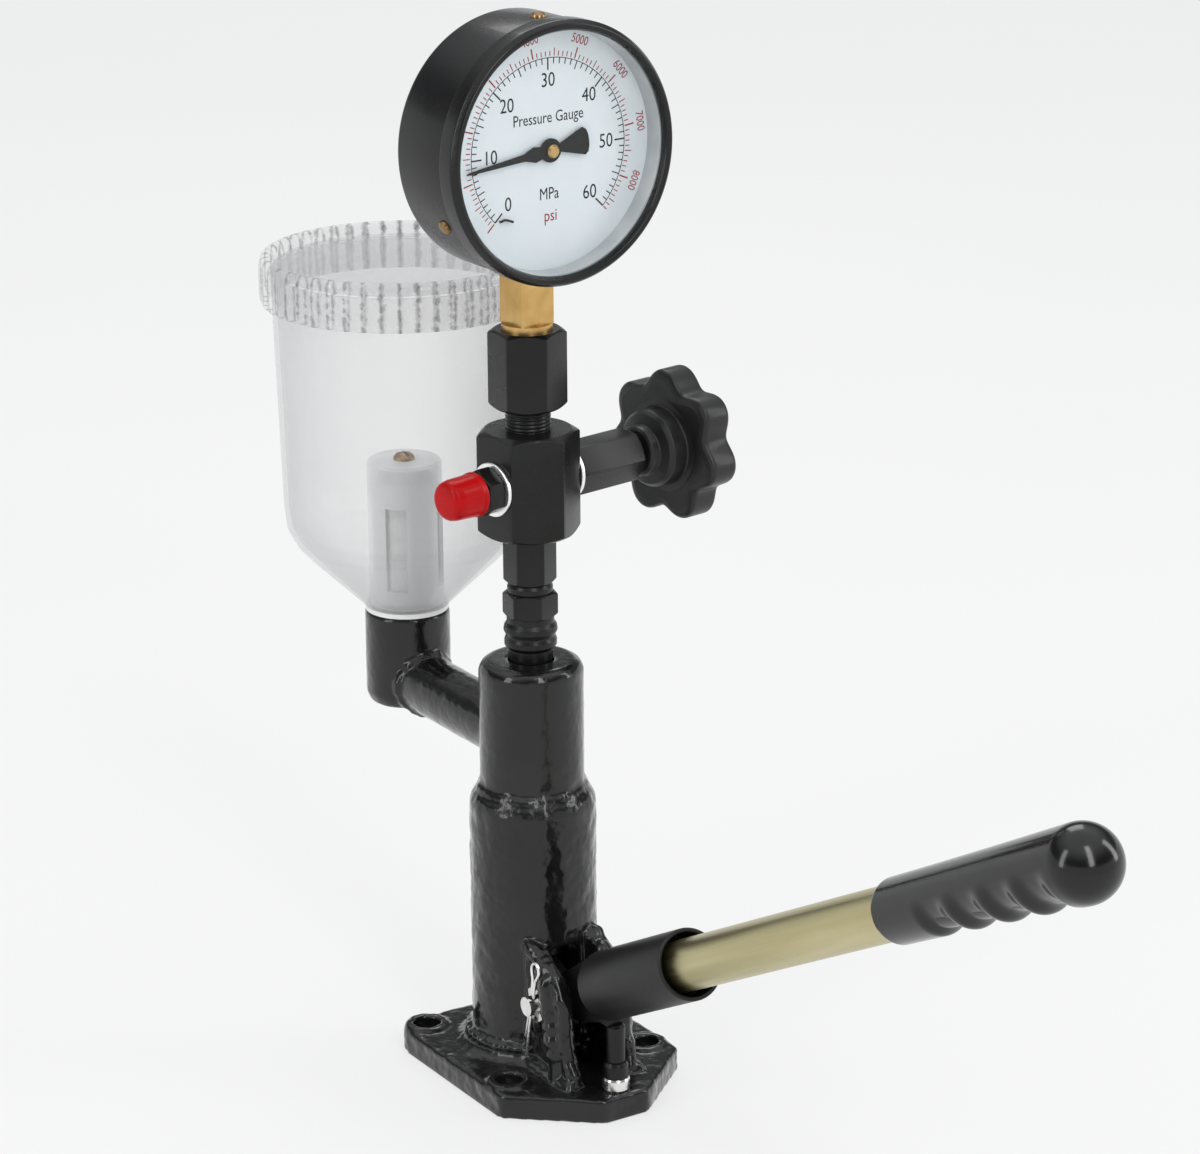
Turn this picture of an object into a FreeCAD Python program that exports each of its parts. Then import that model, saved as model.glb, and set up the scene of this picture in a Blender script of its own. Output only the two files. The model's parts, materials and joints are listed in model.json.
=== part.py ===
import FreeCAD, Part
import math
import os

# Hand pump test stand: cast stand with a lever-driven plunger pump, a fuel cup, a shut-off
# valve, a capped outlet and a pressure gauge.
# Millimetres, +Z up. Origin: centre of the four base holes, at the underside of the plate.
# +X runs along the lever, the cup stands at -X, the knob points to +Y, the outlet to -Y.

V = FreeCAD.Vector
UP = V(0, 0, 1)
ACROSS = V(0, 1, 0)
FORWARD = V(1, 0, 0)
RUN = 0.05            # radial clearance of a running fit
GAP = 0.3             # clearance between moving pieces that do not touch

# Base plate
PLATE_T = 10.0
PLATE_BACK = -41.0
PLATE_SHOULDER = 42.0
PLATE_HALF = 42.5
NOSE_X = 69.0
NOSE_HALF = 10.5
HOLE_PITCH = 65.0
HOLE_R = 5.5
BOSS_R = 9.5
BOSS_H = 1.6
BACK_CORNER_R = 9.0
FRONT_CORNER_R = 4.0
TOP_EDGE_R = 1.5

# Column
COL_R = 25.5
FOOT_RING = 7.0         # how far the plate's ring stands out from the column
FOOT_TOP = 18.0
COL_TOP_R = 21.0
SHOULDER_LOW = 114.0
SHOULDER_HIGH = 121.0
COL_TOP = 174.0
TOP_BEVEL = 4.0
CHAMBER_R = 16.0
CHAMBER_ROOF = 107.0
BARREL_BORE_R = 8.5
BARREL_SEAT_Z = 122.0
FEED_Z = 138.0
FEED_R = 5.0
FEED_RING_R = 10.5      # groove round the barrel that the fuel reaches its port through
BARREL_LOW_R = 7.0
HOLDER_THREAD_R = 8.8
SLOT_HALF = 6.4
SLOT_LOW = 18.0
SLOT_HIGH = 58.0

# Gussets: outline in the X-Z plane
GUSSET = ((16, 9), (54, 9), (48, 22), (45, 44), (40, 52), (30, 58), (16, 66))

# Pivot and lever
PIVOT = V(28.0, 0, 38.0)
PIN_R = 4.0
LUG_IN = 10.0
LUG_OUT = 16.0
LEVER_TILT = 27.64
WEB_HALF = 5.0
BOSS_ARM_R = 9.0
NOSE_R = 7.0
NOSE_Z = 44.0
SLEEVE_R = 14.2
SLEEVE_BORE_R = 10.5
SLEEVE_START = 31.5
SLEEVE_END = 97.2
SLEEVE_MOUTH_R = 12.4
SLEEVE_MOUTH_DEPTH = 11.0
TUBE_R = 10.2
TUBE_WALL = 1.6
TUBE_START = 40.0
GRIP_START = 245.0
GRIP_END = 370.0
GRIP_R = 12.4
GRIP_END_R = 14.2
FINGER_PLACES = (36, 57, 78, 98)   # finger grooves, from the start of the grip

# Stop post on the nose of the plate
STOP_X = 61.0
STOP_R = 3.75
STOP_TOP = 38.0

# Split pin through the pivot pin
SPLIT_PIN_Y = -18.9
SPLIT_PIN_LEAN = 12.0
SPLIT_PIN_R = 1.5
SPLIT_HOLE_R = 1.75

# Pump element
PLUNGER_R = 4.0
PLUNGER_FOOT_Z = 57.0
PLUNGER_TOP_Z = 141.0
BARREL_LOW_Z = 90.0
BARREL_TOP_Z = 148.0
VALVE_SEAT_TOP_Z = 160.0
HOLDER_TOP_Z = 206.0
HOLDER_BORE_R = 4.6
TAPPET_BORE_R = 12.5
SEAT_T = 3.0            # thickness of both spring seats
POPPET_R = 2.95

# Valve block: built with the outlet along -Y, then turned by BLOCK_YAW
BLOCK_YAW = 9.7
BLOCK_AF = 36.0
BLOCK_LOW = 226.2
BLOCK_HIGH = 268.8
VALVE_Z = 247.6
PASSAGE_R = 1.6
STEM_R = 6.0            # threaded stub of the connector
STUB_R = 5.0            # threaded stub of the outlet fitting
BONNET_STUB_R = 7.0
NIPPLE_STUB_R = 6.5
STUB_DEPTH = 9.0
WASHER_OUT_T = 1.6
WASHER_BONNET_T = 1.8
OUTLET_HEX_T = 7.6
SPINDLE_R = 4.05
SPINDLE_START_Y = 14.6
SPINDLE_LENGTH = 67.0
PACKING_Y = 41.0
PACKING_T = 6.0
PACKING_R = 6.5

# Hand knob
KNOB_START_Y = 56.7
LOBES = 7
LOBE_MEAN_R = 28.5
LOBE_RISE = 2.7
RIM_T = 14.5
RIM_START = 14.0

# Gauge: built facing +X, then turned by GAUGE_YAW
GAUGE_YAW = 2.8
GAUGE_Z = 382.0
CASE_R = 50.0
BEZEL_R = 51.0
CASE_BACK_X = -15.0
CASE_FRONT_X = 18.0
BEZEL_FRONT_X = 28.0
DIAL_X = 15.0
POINTER_TURN = 38.25   # degrees from zero to the pointer's stored place
SCALE_ZERO = 135.0     # from straight up back to the zero mark, degrees
POINTER_X = 17.0
POINTER_T = 0.8
POINTER_BORE_R = 1.9
SECTOR_Z = 368.5
LINK_Z = 359.0
LINK_STUD_R = 0.8
TUBE_RING_R = 31.0      # centre line of the pressure tube
TUBE_SECTION_R = 3.4
GLASS_BACK_X = 23.4
GAUGE_NUT_LOW = 277.7
GAUGE_NUT_TOP = 309.1
GASKET_Z = 291.8
GASKET_T = 3.5
CASE_SCREW_ANGLES = (0, 120, 240)
CASE_SCREW_X = 10.0

# Fuel cup
CUP_X = -98.5
SOCKET_R = 17.75
SOCKET_LOW = 126.7
SOCKET_HIGH = 167.7
ARM_R = 12.5
CUP_NECK_R = 12.0
WELL_R = 7.0
CUP_WALL = 2.0
SEAL_T = 2.0
LID_RIBS = 40
LID_R = 57.7
LID_LOW = 300.0
LID_HIGH = 320.0
POST_R = 15.5
POST_LOW = 170.5
POST_HIGH = 232.0


def along(direction, distance):
    return V(direction.x * distance, direction.y * distance, direction.z * distance)


def rod(radius, start, direction, length):
    return Part.makeCylinder(radius, length, start, direction)


def tube(outer, inner, start, direction, length):
    return rod(outer, start, direction, length).cut(rod(inner, start, direction, length))


def turned(profile, start=V(0, 0, 0), direction=UP):
    """Solid of revolution of a closed (radius, height) outline about direction."""
    points = [V(radius, 0, height) for radius, height in profile]
    face = Part.Face(Part.makePolygon(points + [points[0]]))
    solid = face.revolve(V(0, 0, 0), UP, 360)
    solid.Placement = FreeCAD.Placement(start, FreeCAD.Rotation(UP, direction))
    return solid


def prism(points, direction, length):
    """Straight prism on a closed polygon."""
    return Part.Face(Part.makePolygon(points + [points[0]])).extrude(along(direction, length))


def hex_bar(across_flats, start, direction, length, flat_normal, bevel_ends=(True, True)):
    """Hexagonal bar whose first flat faces flat_normal, with turned 30 degree bevels."""
    side = direction.cross(flat_normal)
    corner = across_flats / math.sqrt(3)
    points = []
    for index in range(6):
        angle = math.radians(30 + 60 * index)
        points.append(start + along(flat_normal, corner * math.cos(angle)) + along(side, corner * math.sin(angle)))
    bar = prism(points, direction, length)
    flat = 0.48 * across_flats
    drop = (corner - flat) * math.tan(math.radians(30))
    low = drop if bevel_ends[0] else 0.0
    high = drop if bevel_ends[1] else 0.0
    outline = [(0, 0)]
    outline += [(flat, 0), (corner, low)] if low else [(corner, 0)]
    outline += [(corner, length - high), (flat, length)] if high else [(corner, length)]
    outline += [(0, length)]
    return bar.common(turned(outline, start, direction))


def heading(degrees):
    """Level direction at an angle from +X."""
    return V(math.cos(math.radians(degrees)), math.sin(math.radians(degrees)), 0)


def coil_spring(mean_radius, wire_radius, low, high, turns, centre=V(0, 0, 0)):
    """Compression spring standing between two levels."""
    rise = high - low - 2 * wire_radius
    path = Part.makeHelix(rise / turns, rise, mean_radius)
    section = Part.Wire([Part.makeCircle(wire_radius, V(mean_radius, 0, 0), ACROSS)])
    coil = Part.Wire(path).makePipeShell([section], True, True)
    coil.translate(centre + V(0, 0, low + wire_radius))
    return coil


def block_frame(shape):
    """Turn a piece of the valve group from its building direction to its fitted one."""
    shape.rotate(V(0, 0, 0), UP, BLOCK_YAW)
    return shape


def gauge_frame(shape):
    """Turn a piece of the gauge to the way the gauge faces."""
    shape.rotate(V(0, 0, 0), UP, GAUGE_YAW)
    return shape


LEVER_DIR = V(math.cos(math.radians(LEVER_TILT)), 0, math.sin(math.radians(LEVER_TILT)))
LEVER_UP = V(-LEVER_DIR.z, 0, LEVER_DIR.x)


def lever_point(distance):
    return PIVOT + along(LEVER_DIR, distance)


# ---------------------------------------------------------------- stand

def plate():
    outline = [
        V(PLATE_BACK, -PLATE_HALF, 0), V(PLATE_SHOULDER, -PLATE_HALF, 0), V(NOSE_X, -NOSE_HALF, 0),
        V(NOSE_X, NOSE_HALF, 0), V(PLATE_SHOULDER, PLATE_HALF, 0), V(PLATE_BACK, PLATE_HALF, 0),
    ]
    solid = prism(outline, UP, PLATE_T)
    solid = solid.makeFillet(BACK_CORNER_R, [e for e in solid.Edges if upright(e) and e.CenterOfMass.x < 0])
    solid = solid.makeFillet(FRONT_CORNER_R, [e for e in solid.Edges if upright(e) and e.CenterOfMass.x > 0])
    top_edges = [e for e in solid.Edges if abs(e.BoundBox.ZMin - PLATE_T) < 0.01]
    return solid.makeFillet(TOP_EDGE_R, top_edges)


def upright(edge):
    return edge.BoundBox.ZLength > 0.9 * PLATE_T and edge.BoundBox.XLength < 0.01


def hole_centres():
    half = HOLE_PITCH / 2
    return [V(x, y, 0) for x in (-half, half) for y in (-half, half)]


def lug(side):
    """Gusset that carries one end of the pivot pin; side is +1 or -1."""
    low = LUG_IN if side > 0 else -LUG_OUT
    points = [V(x, low, z) for x, z in GUSSET]
    return prism(points, ACROSS, LUG_OUT - LUG_IN)


def base_plate():
    """Tapered plate with bosses round its holes, a ring round the column and two gussets."""
    ring = turned([
        (COL_R, 0), (COL_R + FOOT_RING, 0), (COL_R + FOOT_RING, PLATE_T), (COL_R + FOOT_RING / 2, PLATE_T + 2),
        (COL_R, FOOT_TOP),
    ])
    bosses = [Part.makeCone(BOSS_R, BOSS_R - 1.0, BOSS_H, c + V(0, 0, PLATE_T)) for c in hole_centres()]
    solid = plate().fuse([ring, lug(1), lug(-1)] + bosses)
    cuts = [rod(HOLE_R, c - V(0, 0, 1), UP, PLATE_T + BOSS_H + 2) for c in hole_centres()]
    cuts.append(rod(COL_R, V(0, 0, -1), UP, SHOULDER_LOW))
    cuts.append(lever_room())
    cuts.append(rod(PIN_R + RUN, PIVOT - V(0, 30, 0), ACROSS, 60))
    cuts.append(rod(STOP_R, V(STOP_X, 0, 1), UP, PLATE_T))
    return solid.cut(cuts).removeSplitter()


def lever_room():
    """Space between the gussets for the lever's pivot boss."""
    return Part.makeBox(NOSE_X - COL_R, 2 * LUG_IN, COL_TOP, V(COL_R - SLOT_HALF, -LUG_IN, PLATE_T + GAP))


def pump_column():
    """Stepped column, bored for the pump element and slotted for the lever."""
    solid = turned([
        (0, 0), (COL_R, 0), (COL_R, SHOULDER_LOW), (COL_R - 1.2, SHOULDER_LOW + 3.6), (COL_TOP_R, SHOULDER_HIGH),
        (COL_TOP_R, COL_TOP - TOP_BEVEL), (COL_TOP_R - 1.2, COL_TOP - 1.6), (COL_TOP_R - TOP_BEVEL, COL_TOP),
        (0, COL_TOP),
    ])
    cuts = [rod(CHAMBER_R, V(0, 0, -1), UP, CHAMBER_ROOF + 1)]
    cuts.append(rod(BARREL_LOW_R + GAP, V(0, 0, CHAMBER_ROOF - 1), UP, BARREL_SEAT_Z - CHAMBER_ROOF + 2))
    cuts.append(rod(BARREL_BORE_R, V(0, 0, BARREL_SEAT_Z), UP, COL_TOP))
    cuts.append(rod(FEED_RING_R, V(0, 0, FEED_Z - FEED_R), UP, 2 * FEED_R))
    cuts.append(rod(HOLDER_THREAD_R + 0.2, V(0, 0, VALVE_SEAT_TOP_Z), UP, COL_TOP))
    cuts.append(rod(FEED_R, V(0, 0, FEED_Z), -FORWARD, 2 * COL_R))
    cuts.append(Part.makeBox(2 * COL_R, 2 * SLOT_HALF, SLOT_HIGH - SLOT_LOW, V(5, -SLOT_HALF, SLOT_LOW)))
    cuts.append(rod(BOSS_ARM_R + 2 * GAP, PIVOT - V(0, LUG_IN, 0), ACROSS, 2 * LUG_IN))
    cuts.append(rod(PIN_R + RUN, PIVOT - V(0, 30, 0), ACROSS, 60))
    return solid.cut(cuts).removeSplitter()


def feed_arm():
    """Round arm between the column and the cup's socket, bored for the feed."""
    start = V(CUP_X, 0, FEED_Z)
    ends = [rod(COL_TOP_R, V(0, 0, 0), UP, COL_TOP), rod(SOCKET_R, V(CUP_X, 0, 0), UP, COL_TOP)]
    return tube(ARM_R, FEED_R, start, FORWARD, -CUP_X).cut(ends)


def tank_socket():
    """Upright boss that the cup screws into, closed at the bottom."""
    solid = turned([
        (0, SOCKET_LOW), (SOCKET_R - 5, SOCKET_LOW), (SOCKET_R - 1.5, SOCKET_LOW + 1.5),
        (SOCKET_R, SOCKET_LOW + 5), (SOCKET_R, SOCKET_HIGH - 0.8), (SOCKET_R - 0.8, SOCKET_HIGH), (0, SOCKET_HIGH),
    ], V(CUP_X, 0, 0))
    bore = rod(CUP_NECK_R + 0.2, V(CUP_X, 0, FEED_Z + 12), UP, COL_TOP)
    well = rod(WELL_R, V(CUP_X, 0, FEED_Z - 6), UP, 30)
    feed = rod(FEED_R, V(CUP_X, 0, FEED_Z), FORWARD, 2 * SOCKET_R)
    return solid.cut([bore, well, feed])


# ---------------------------------------------------------------- pump element

def pump_barrel():
    solid = turned([
        (0, BARREL_LOW_Z), (BARREL_LOW_R, BARREL_LOW_Z), (BARREL_LOW_R, BARREL_SEAT_Z),
        (BARREL_BORE_R - 0.1, BARREL_SEAT_Z),
        (BARREL_BORE_R - 0.1, BARREL_TOP_Z), (0, BARREL_TOP_Z),
    ])
    port = rod(1.5, V(-12, 0, FEED_Z - 2), FORWARD, 24)
    return solid.cut([rod(PLUNGER_R + RUN, V(0, 0, 0), UP, 200), port])


def plunger():
    foot = rod(6.0, V(0, 0, PLUNGER_FOOT_Z), UP, 2.5)
    return foot.fuse(rod(PLUNGER_R, V(0, 0, PLUNGER_FOOT_Z), UP, PLUNGER_TOP_Z - PLUNGER_FOOT_Z))


def tappet():
    """Cup that the lever nose lifts; it slides in the column's chamber."""
    top = PLUNGER_FOOT_Z + 9
    low = NOSE_Z + NOSE_R + GAP
    solid = rod(CHAMBER_R - 0.1, V(0, 0, low), UP, top - low)
    return solid.cut(rod(TAPPET_BORE_R, V(0, 0, PLUNGER_FOOT_Z), UP, 20))


def lower_spring_seat():
    return tube(TAPPET_BORE_R - GAP, PLUNGER_R + RUN, V(0, 0, PLUNGER_FOOT_Z + 2.5), UP, SEAT_T)


def upper_spring_seat():
    return tube(13.0, BARREL_LOW_R + GAP, V(0, 0, CHAMBER_ROOF - SEAT_T), UP, SEAT_T)


def plunger_spring():
    return coil_spring(10.2, 1.3, PLUNGER_FOOT_Z + 2.5 + SEAT_T, CHAMBER_ROOF - SEAT_T, 6)


def delivery_valve_seat():
    length = VALVE_SEAT_TOP_Z - BARREL_TOP_Z
    return tube(BARREL_BORE_R - 0.1, 3.0, V(0, 0, BARREL_TOP_Z), UP, length)


def delivery_valve_poppet():
    """Guided stem with a collar that rests on the seat and carries the spring."""
    guide = rod(POPPET_R, V(0, 0, VALVE_SEAT_TOP_Z - 8), UP, 10)
    collar = rod(4.0, V(0, 0, VALVE_SEAT_TOP_Z + RUN), UP, 2.5)
    return guide.fuse(collar)


def delivery_valve_spring():
    return coil_spring(3.2, 0.5, VALVE_SEAT_TOP_Z + 2.6, VALVE_SEAT_TOP_Z + 18, 6)


def delivery_valve_holder():
    """Threaded holder with a waisted neck and a hexagon, screwed into the column."""
    body = turned([
        (0, VALVE_SEAT_TOP_Z), (HOLDER_THREAD_R, VALVE_SEAT_TOP_Z), (HOLDER_THREAD_R, 178), (10.5, 180),
        (10.5, 182), (9.9, 184),
        (10.85, 186), (10.6, 188), (9.6, 189.5), (9.6, 191.5), (8.6, 192), (8.6, HOLDER_TOP_Z - 1),
        (8.0, HOLDER_TOP_Z), (0, HOLDER_TOP_Z),
    ])
    hexagon = hex_bar(19.3, V(0, 0, 191.5), UP, 10.5, heading(-38))
    ring = rod(9.2, V(0, 0, 202), UP, 2.4)
    solid = body.fuse([hexagon, ring])
    chamber = rod(HOLDER_BORE_R, V(0, 0, VALVE_SEAT_TOP_Z - 1), UP, 19)
    return solid.cut([chamber, rod(PASSAGE_R, V(0, 0, VALVE_SEAT_TOP_Z), UP, 60)])


# ---------------------------------------------------------------- valve group

def block_connector():
    """Hexagonal connector between the holder and the block."""
    solid = hex_bar(18.4, V(0, 0, HOLDER_TOP_Z), UP, BLOCK_LOW - HOLDER_TOP_Z, heading(-29.5), (True, False))
    stub = rod(STEM_R, V(0, 0, BLOCK_LOW), UP, STUB_DEPTH)
    return solid.fuse(stub).cut(rod(PASSAGE_R, V(0, 0, HOLDER_TOP_Z - 1), UP, 60))


def valve_block():
    solid = hex_bar(BLOCK_AF, V(0, 0, BLOCK_LOW), UP, BLOCK_HIGH - BLOCK_LOW, -ACROSS)
    cuts = [
        rod(STEM_R, V(0, 0, BLOCK_LOW - 1), UP, STUB_DEPTH + 1),
        rod(PASSAGE_R, V(0, 0, BLOCK_LOW), UP, BLOCK_HIGH - BLOCK_LOW + 1),
        rod(NIPPLE_STUB_R, V(0, 0, BLOCK_HIGH - STUB_DEPTH), UP, STUB_DEPTH + 1),
        rod(STUB_R, V(0, -8, VALVE_Z), -ACROSS, 12),
        rod(PASSAGE_R, V(0, 0, VALVE_Z), -ACROSS, 12),
        rod(PASSAGE_R, V(0, 0, VALVE_Z), ACROSS, 8),
        rod(BONNET_STUB_R, V(0, 6, VALVE_Z), ACROSS, 14),
    ]
    return block_frame(solid.cut(cuts))


def outlet_washer():
    return block_frame(tube(10.8, STUB_R + 0.1, V(0, -BLOCK_AF / 2, VALVE_Z), -ACROSS, WASHER_OUT_T))


def outlet_fitting():
    """Hexagon with a threaded stub in the block and an M14 thread outside."""
    start = V(0, -BLOCK_AF / 2 - WASHER_OUT_T, VALVE_Z)
    solid = hex_bar(17.0, start, -ACROSS, OUTLET_HEX_T, FORWARD)
    solid = solid.fuse(rod(STUB_R, V(0, -9, VALVE_Z), -ACROSS, 12))
    solid = solid.fuse(rod(6.9, start - V(0, OUTLET_HEX_T, 0), -ACROSS, 12.5))
    return block_frame(solid.cut(rod(PASSAGE_R, V(0, -8, VALVE_Z), -ACROSS, 40)))


def outlet_cap():
    """Soft protective cap that pulls off the outlet thread."""
    start = V(0, -BLOCK_AF / 2 - WASHER_OUT_T - OUTLET_HEX_T - GAP, VALVE_Z)
    outline = [(7.2, 0), (8.9, 0), (8.9, 1.6), (8.5, 2.2), (8.2, 14.6), (7.2, 15.6), (0, 15.6), (0, 13.6), (7.2, 13.6)]
    cap = turned(outline, start, -ACROSS)
    return block_frame(cap)


def bonnet_washer():
    return block_frame(tube(11.6, BONNET_STUB_R + 0.1, V(0, BLOCK_AF / 2, VALVE_Z), ACROSS, WASHER_BONNET_T))


def valve_bonnet():
    """Hexagonal bonnet that guides the spindle and holds its packing."""
    start = V(0, BLOCK_AF / 2 + WASHER_BONNET_T, VALVE_Z)
    solid = hex_bar(19.4, start, ACROSS, 33.5, UP)
    solid = solid.fuse(rod(BONNET_STUB_R, V(0, 10, VALVE_Z), ACROSS, 12))
    cuts = [
        rod(SPINDLE_R + RUN, V(0, 9, VALVE_Z), ACROSS, 60),
        rod(PACKING_R, V(0, PACKING_Y, VALVE_Z), ACROSS, PACKING_T),
    ]
    return block_frame(solid.cut(cuts))


def gland_packing():
    return block_frame(tube(PACKING_R, SPINDLE_R + RUN, V(0, PACKING_Y, VALVE_Z), ACROSS, PACKING_T))


def valve_needle():
    """Hardened tip that closes the block's passage; it follows the spindle in and out."""
    tip = turned([(0, 0), (0.8, 0), (3.0, 4.5), (3.0, 9.0), (0, 9.0)], V(0, 5.2, VALVE_Z), ACROSS)
    return block_frame(tip)


def valve_spindle():
    solid = rod(SPINDLE_R, V(0, SPINDLE_START_Y, VALVE_Z), ACROSS, SPINDLE_LENGTH)
    screw_hole = rod(2.0, V(0, 72, VALVE_Z), ACROSS, 12)
    return block_frame(solid.cut(screw_hole))


def valve_knob():
    """Seven-lobed hand knob with a stepped hub towards the bonnet."""
    samples = 8 * LOBES
    points = []
    for index in range(samples):
        angle = 2 * math.pi * index / samples
        radius = LOBE_MEAN_R + LOBE_RISE * math.cos(LOBES * angle)
        points.append(V(radius * math.cos(angle), radius * math.sin(angle), 0))
    curve = Part.BSplineCurve()
    curve.interpolate(points, PeriodicFlag=True)
    rim = Part.Face(Part.Wire([curve.toShape()])).extrude(V(0, 0, RIM_T))
    rim = rim.makeFillet(1.8, [e for e in rim.Edges if e.BoundBox.ZLength < 0.01])
    rim.translate(V(0, 0, RIM_START))
    hub = turned([(0, 0), (9.0, 0), (10.0, 1.0), (10.0, 4.5), (14.5, 6.0), (15.8, 7.2), (16.2, 15), (0, 15)])
    solid = rim.fuse(hub)
    dish = turned([(0, 26.5), (19, 26.5), (22, 28.6), (0, 28.6)])
    spindle_bore = rod(SPINDLE_R + 0.01, V(0, 0, -1), UP, 26.0)
    screw_bore = rod(2.6, V(0, 0, 10), UP, 30)
    solid = solid.cut([spindle_bore, screw_bore, dish])
    solid.Placement = FreeCAD.Placement(V(0, KNOB_START_Y, VALVE_Z), FreeCAD.Rotation(UP, ACROSS))
    return block_frame(solid)


def knob_screw():
    head = rod(5.0, V(0, 83.2, VALVE_Z), ACROSS, 2.4)
    head = head.fuse(rod(1.9, V(0, 73, VALVE_Z), ACROSS, 11))
    return block_frame(head.cut(Part.makeBox(12, 1.2, 1.2, V(-6, 84.5, VALVE_Z - 0.6))))


# ---------------------------------------------------------------- gauge

def gauge_nipple():
    """Threaded neck that the gauge's swivel nut runs on."""
    neck = rod(9.0, V(0, 0, BLOCK_HIGH), UP, GASKET_Z - BLOCK_HIGH)
    neck = neck.fuse(rod(NIPPLE_STUB_R, V(0, 0, BLOCK_HIGH - STUB_DEPTH), UP, STUB_DEPTH + 1))
    return neck.cut(rod(PASSAGE_R, V(0, 0, BLOCK_HIGH - 10), UP, 40))


def gauge_nut():
    solid = hex_bar(27.0, V(0, 0, GAUGE_NUT_LOW), UP, GAUGE_NUT_TOP - GAUGE_NUT_LOW, heading(-32.5))
    return solid.cut([rod(9.05, V(0, 0, 277), UP, 18.3), rod(6.6, V(0, 0, 277), UP, 40)])


def gauge_gasket():
    return tube(8.9, PASSAGE_R, V(0, 0, GASKET_Z), UP, GASKET_T)


def socket_head():
    """Block inside the drum that takes the root of the pressure tube."""
    return Part.makeBox(10, 20, 15, V(-6, -10, 337.5))


def gauge_socket():
    """Brass stem with wrench flats; the Bourdon tube is soldered into its head."""
    stem = rod(6.5, V(0, 0, GASKET_Z + GASKET_T), UP, 15)
    collar = rod(10.0, V(0, 0, GAUGE_NUT_TOP), UP, 2.4)
    flats = Part.makeBox(15, 15, 26, V(-7.5, -7.5, GAUGE_NUT_TOP + 2.4))
    solid = stem.fuse([collar, flats, socket_head()]).cut(rod(1.5, V(0, 0, 290), UP, 52))
    return gauge_frame(solid)


def gauge_case():
    """Shallow drum, open at the front."""
    centre = V(CASE_BACK_X, 0, GAUGE_Z)
    depth = CASE_FRONT_X - CASE_BACK_X
    solid = turned([
        (0, 0), (CASE_R - 3, 0), (CASE_R, 3), (CASE_R, depth), (CASE_R - 2, depth), (CASE_R - 2, 4),
        (CASE_R - 4, 2), (0, 2),
    ], centre, FORWARD)
    notch = Part.makeBox(15.2, 15.2, 12, V(-7.6, -7.6, GAUGE_Z - CASE_R - 4))
    screws = [rod(1.6, case_screw_root(angle), case_screw_way(angle), 8) for angle in CASE_SCREW_ANGLES]
    return gauge_frame(solid.cut([notch] + screws))


def case_screw_way(angle):
    return V(0, math.sin(math.radians(angle)), math.cos(math.radians(angle)))


def case_screw_root(angle):
    return V(CASE_SCREW_X, 0, GAUGE_Z) + along(case_screw_way(angle), CASE_R - 4)


def case_screws():
    """Three round-headed screws through the side of the drum."""
    screws = []
    for angle in CASE_SCREW_ANGLES:
        way = case_screw_way(angle)
        shank = rod(1.55, case_screw_root(angle), way, 4)
        seat = case_screw_root(angle) + along(way, 4)
        head = turned([(0, 0), (3.0, 0), (2.8, 0.9), (1.9, 1.6), (0, 1.8)], seat, way)
        screws.append(gauge_frame(shank.fuse(head)))
    return Part.makeCompound(screws)


def gauge_bezel():
    depth = BEZEL_FRONT_X - CASE_FRONT_X
    solid = turned([
        (CASE_R - 2, 0), (BEZEL_R, 0), (BEZEL_R, depth - 2.5), (BEZEL_R - 0.8, depth - 0.7), (BEZEL_R - 2.5, depth),
        (BEZEL_R - 4.2, depth - 0.8), (BEZEL_R - 4.8, depth - 2.5), (BEZEL_R - 3, depth - 2.5),
    ], V(CASE_FRONT_X, 0, GAUGE_Z), FORWARD)
    return gauge_frame(solid)


def gauge_glass():
    return gauge_frame(rod(BEZEL_R - 3.4, V(GLASS_BACK_X, 0, GAUGE_Z), FORWARD, 2))


def glass_gasket():
    """Pale ring that spaces the glass from the dial."""
    start = V(DIAL_X + 1, 0, GAUGE_Z)
    return gauge_frame(tube(CASE_R - 2.2, CASE_R - 4, start, FORWARD, GLASS_BACK_X - DIAL_X - 1))


def gauge_dial():
    face = rod(CASE_R - 2.2, V(DIAL_X, 0, GAUGE_Z), FORWARD, 1)
    return gauge_frame(face.cut(rod(2.2, V(0, 0, GAUGE_Z), FORWARD, 40)))


def bourdon_tube():
    """Curved pressure tube from the socket's head to its free end."""
    centre = V(-5, 0, GAUGE_Z)
    start_angle = -68.0
    end_angle = 205.0
    ring = Part.makeTorus(TUBE_RING_R, TUBE_SECTION_R, centre, FORWARD, -180, 180, end_angle - start_angle)
    ring.rotate(centre, FORWARD, start_angle)
    return gauge_frame(ring.cut(socket_head()))


def movement_frame():
    """Two brass plates held apart by two pillars."""
    back = Part.makeBox(1.5, 24, 30, V(-11, -12, GAUGE_Z - 18))
    front = Part.makeBox(1.5, 24, 30, V(9.5, -12, GAUGE_Z - 18))
    pillars = [rod(2.0, V(-10, y, GAUGE_Z - 14), FORWARD, 20) for y in (-9, 9)]
    solid = back.fuse([front] + pillars)
    holes = [rod(1.05, V(-20, 0, GAUGE_Z), FORWARD, 40), rod(1.3, V(-20, 0, SECTOR_Z), FORWARD, 40)]
    return gauge_frame(solid.cut(holes))


def pointer_shaft():
    """Arbor with its pinion and the brass boss that carries the pointer."""
    arbor = rod(1.0, V(-10.8, 0, GAUGE_Z), FORWARD, 28)
    pinion = rod(1.8, V(-1, 0, GAUGE_Z), FORWARD, 4)
    boss = turned([(0, 0), (2.6, 0), (2.6, 1.2), (1.9, 2.0), (0, 2.0)], V(18.2, 0, GAUGE_Z), FORWARD)
    seat = rod(POINTER_BORE_R, V(POINTER_X - 0.6, 0, GAUGE_Z), FORWARD, 2)
    return gauge_frame(arbor.fuse([pinion, boss, seat]))


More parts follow.
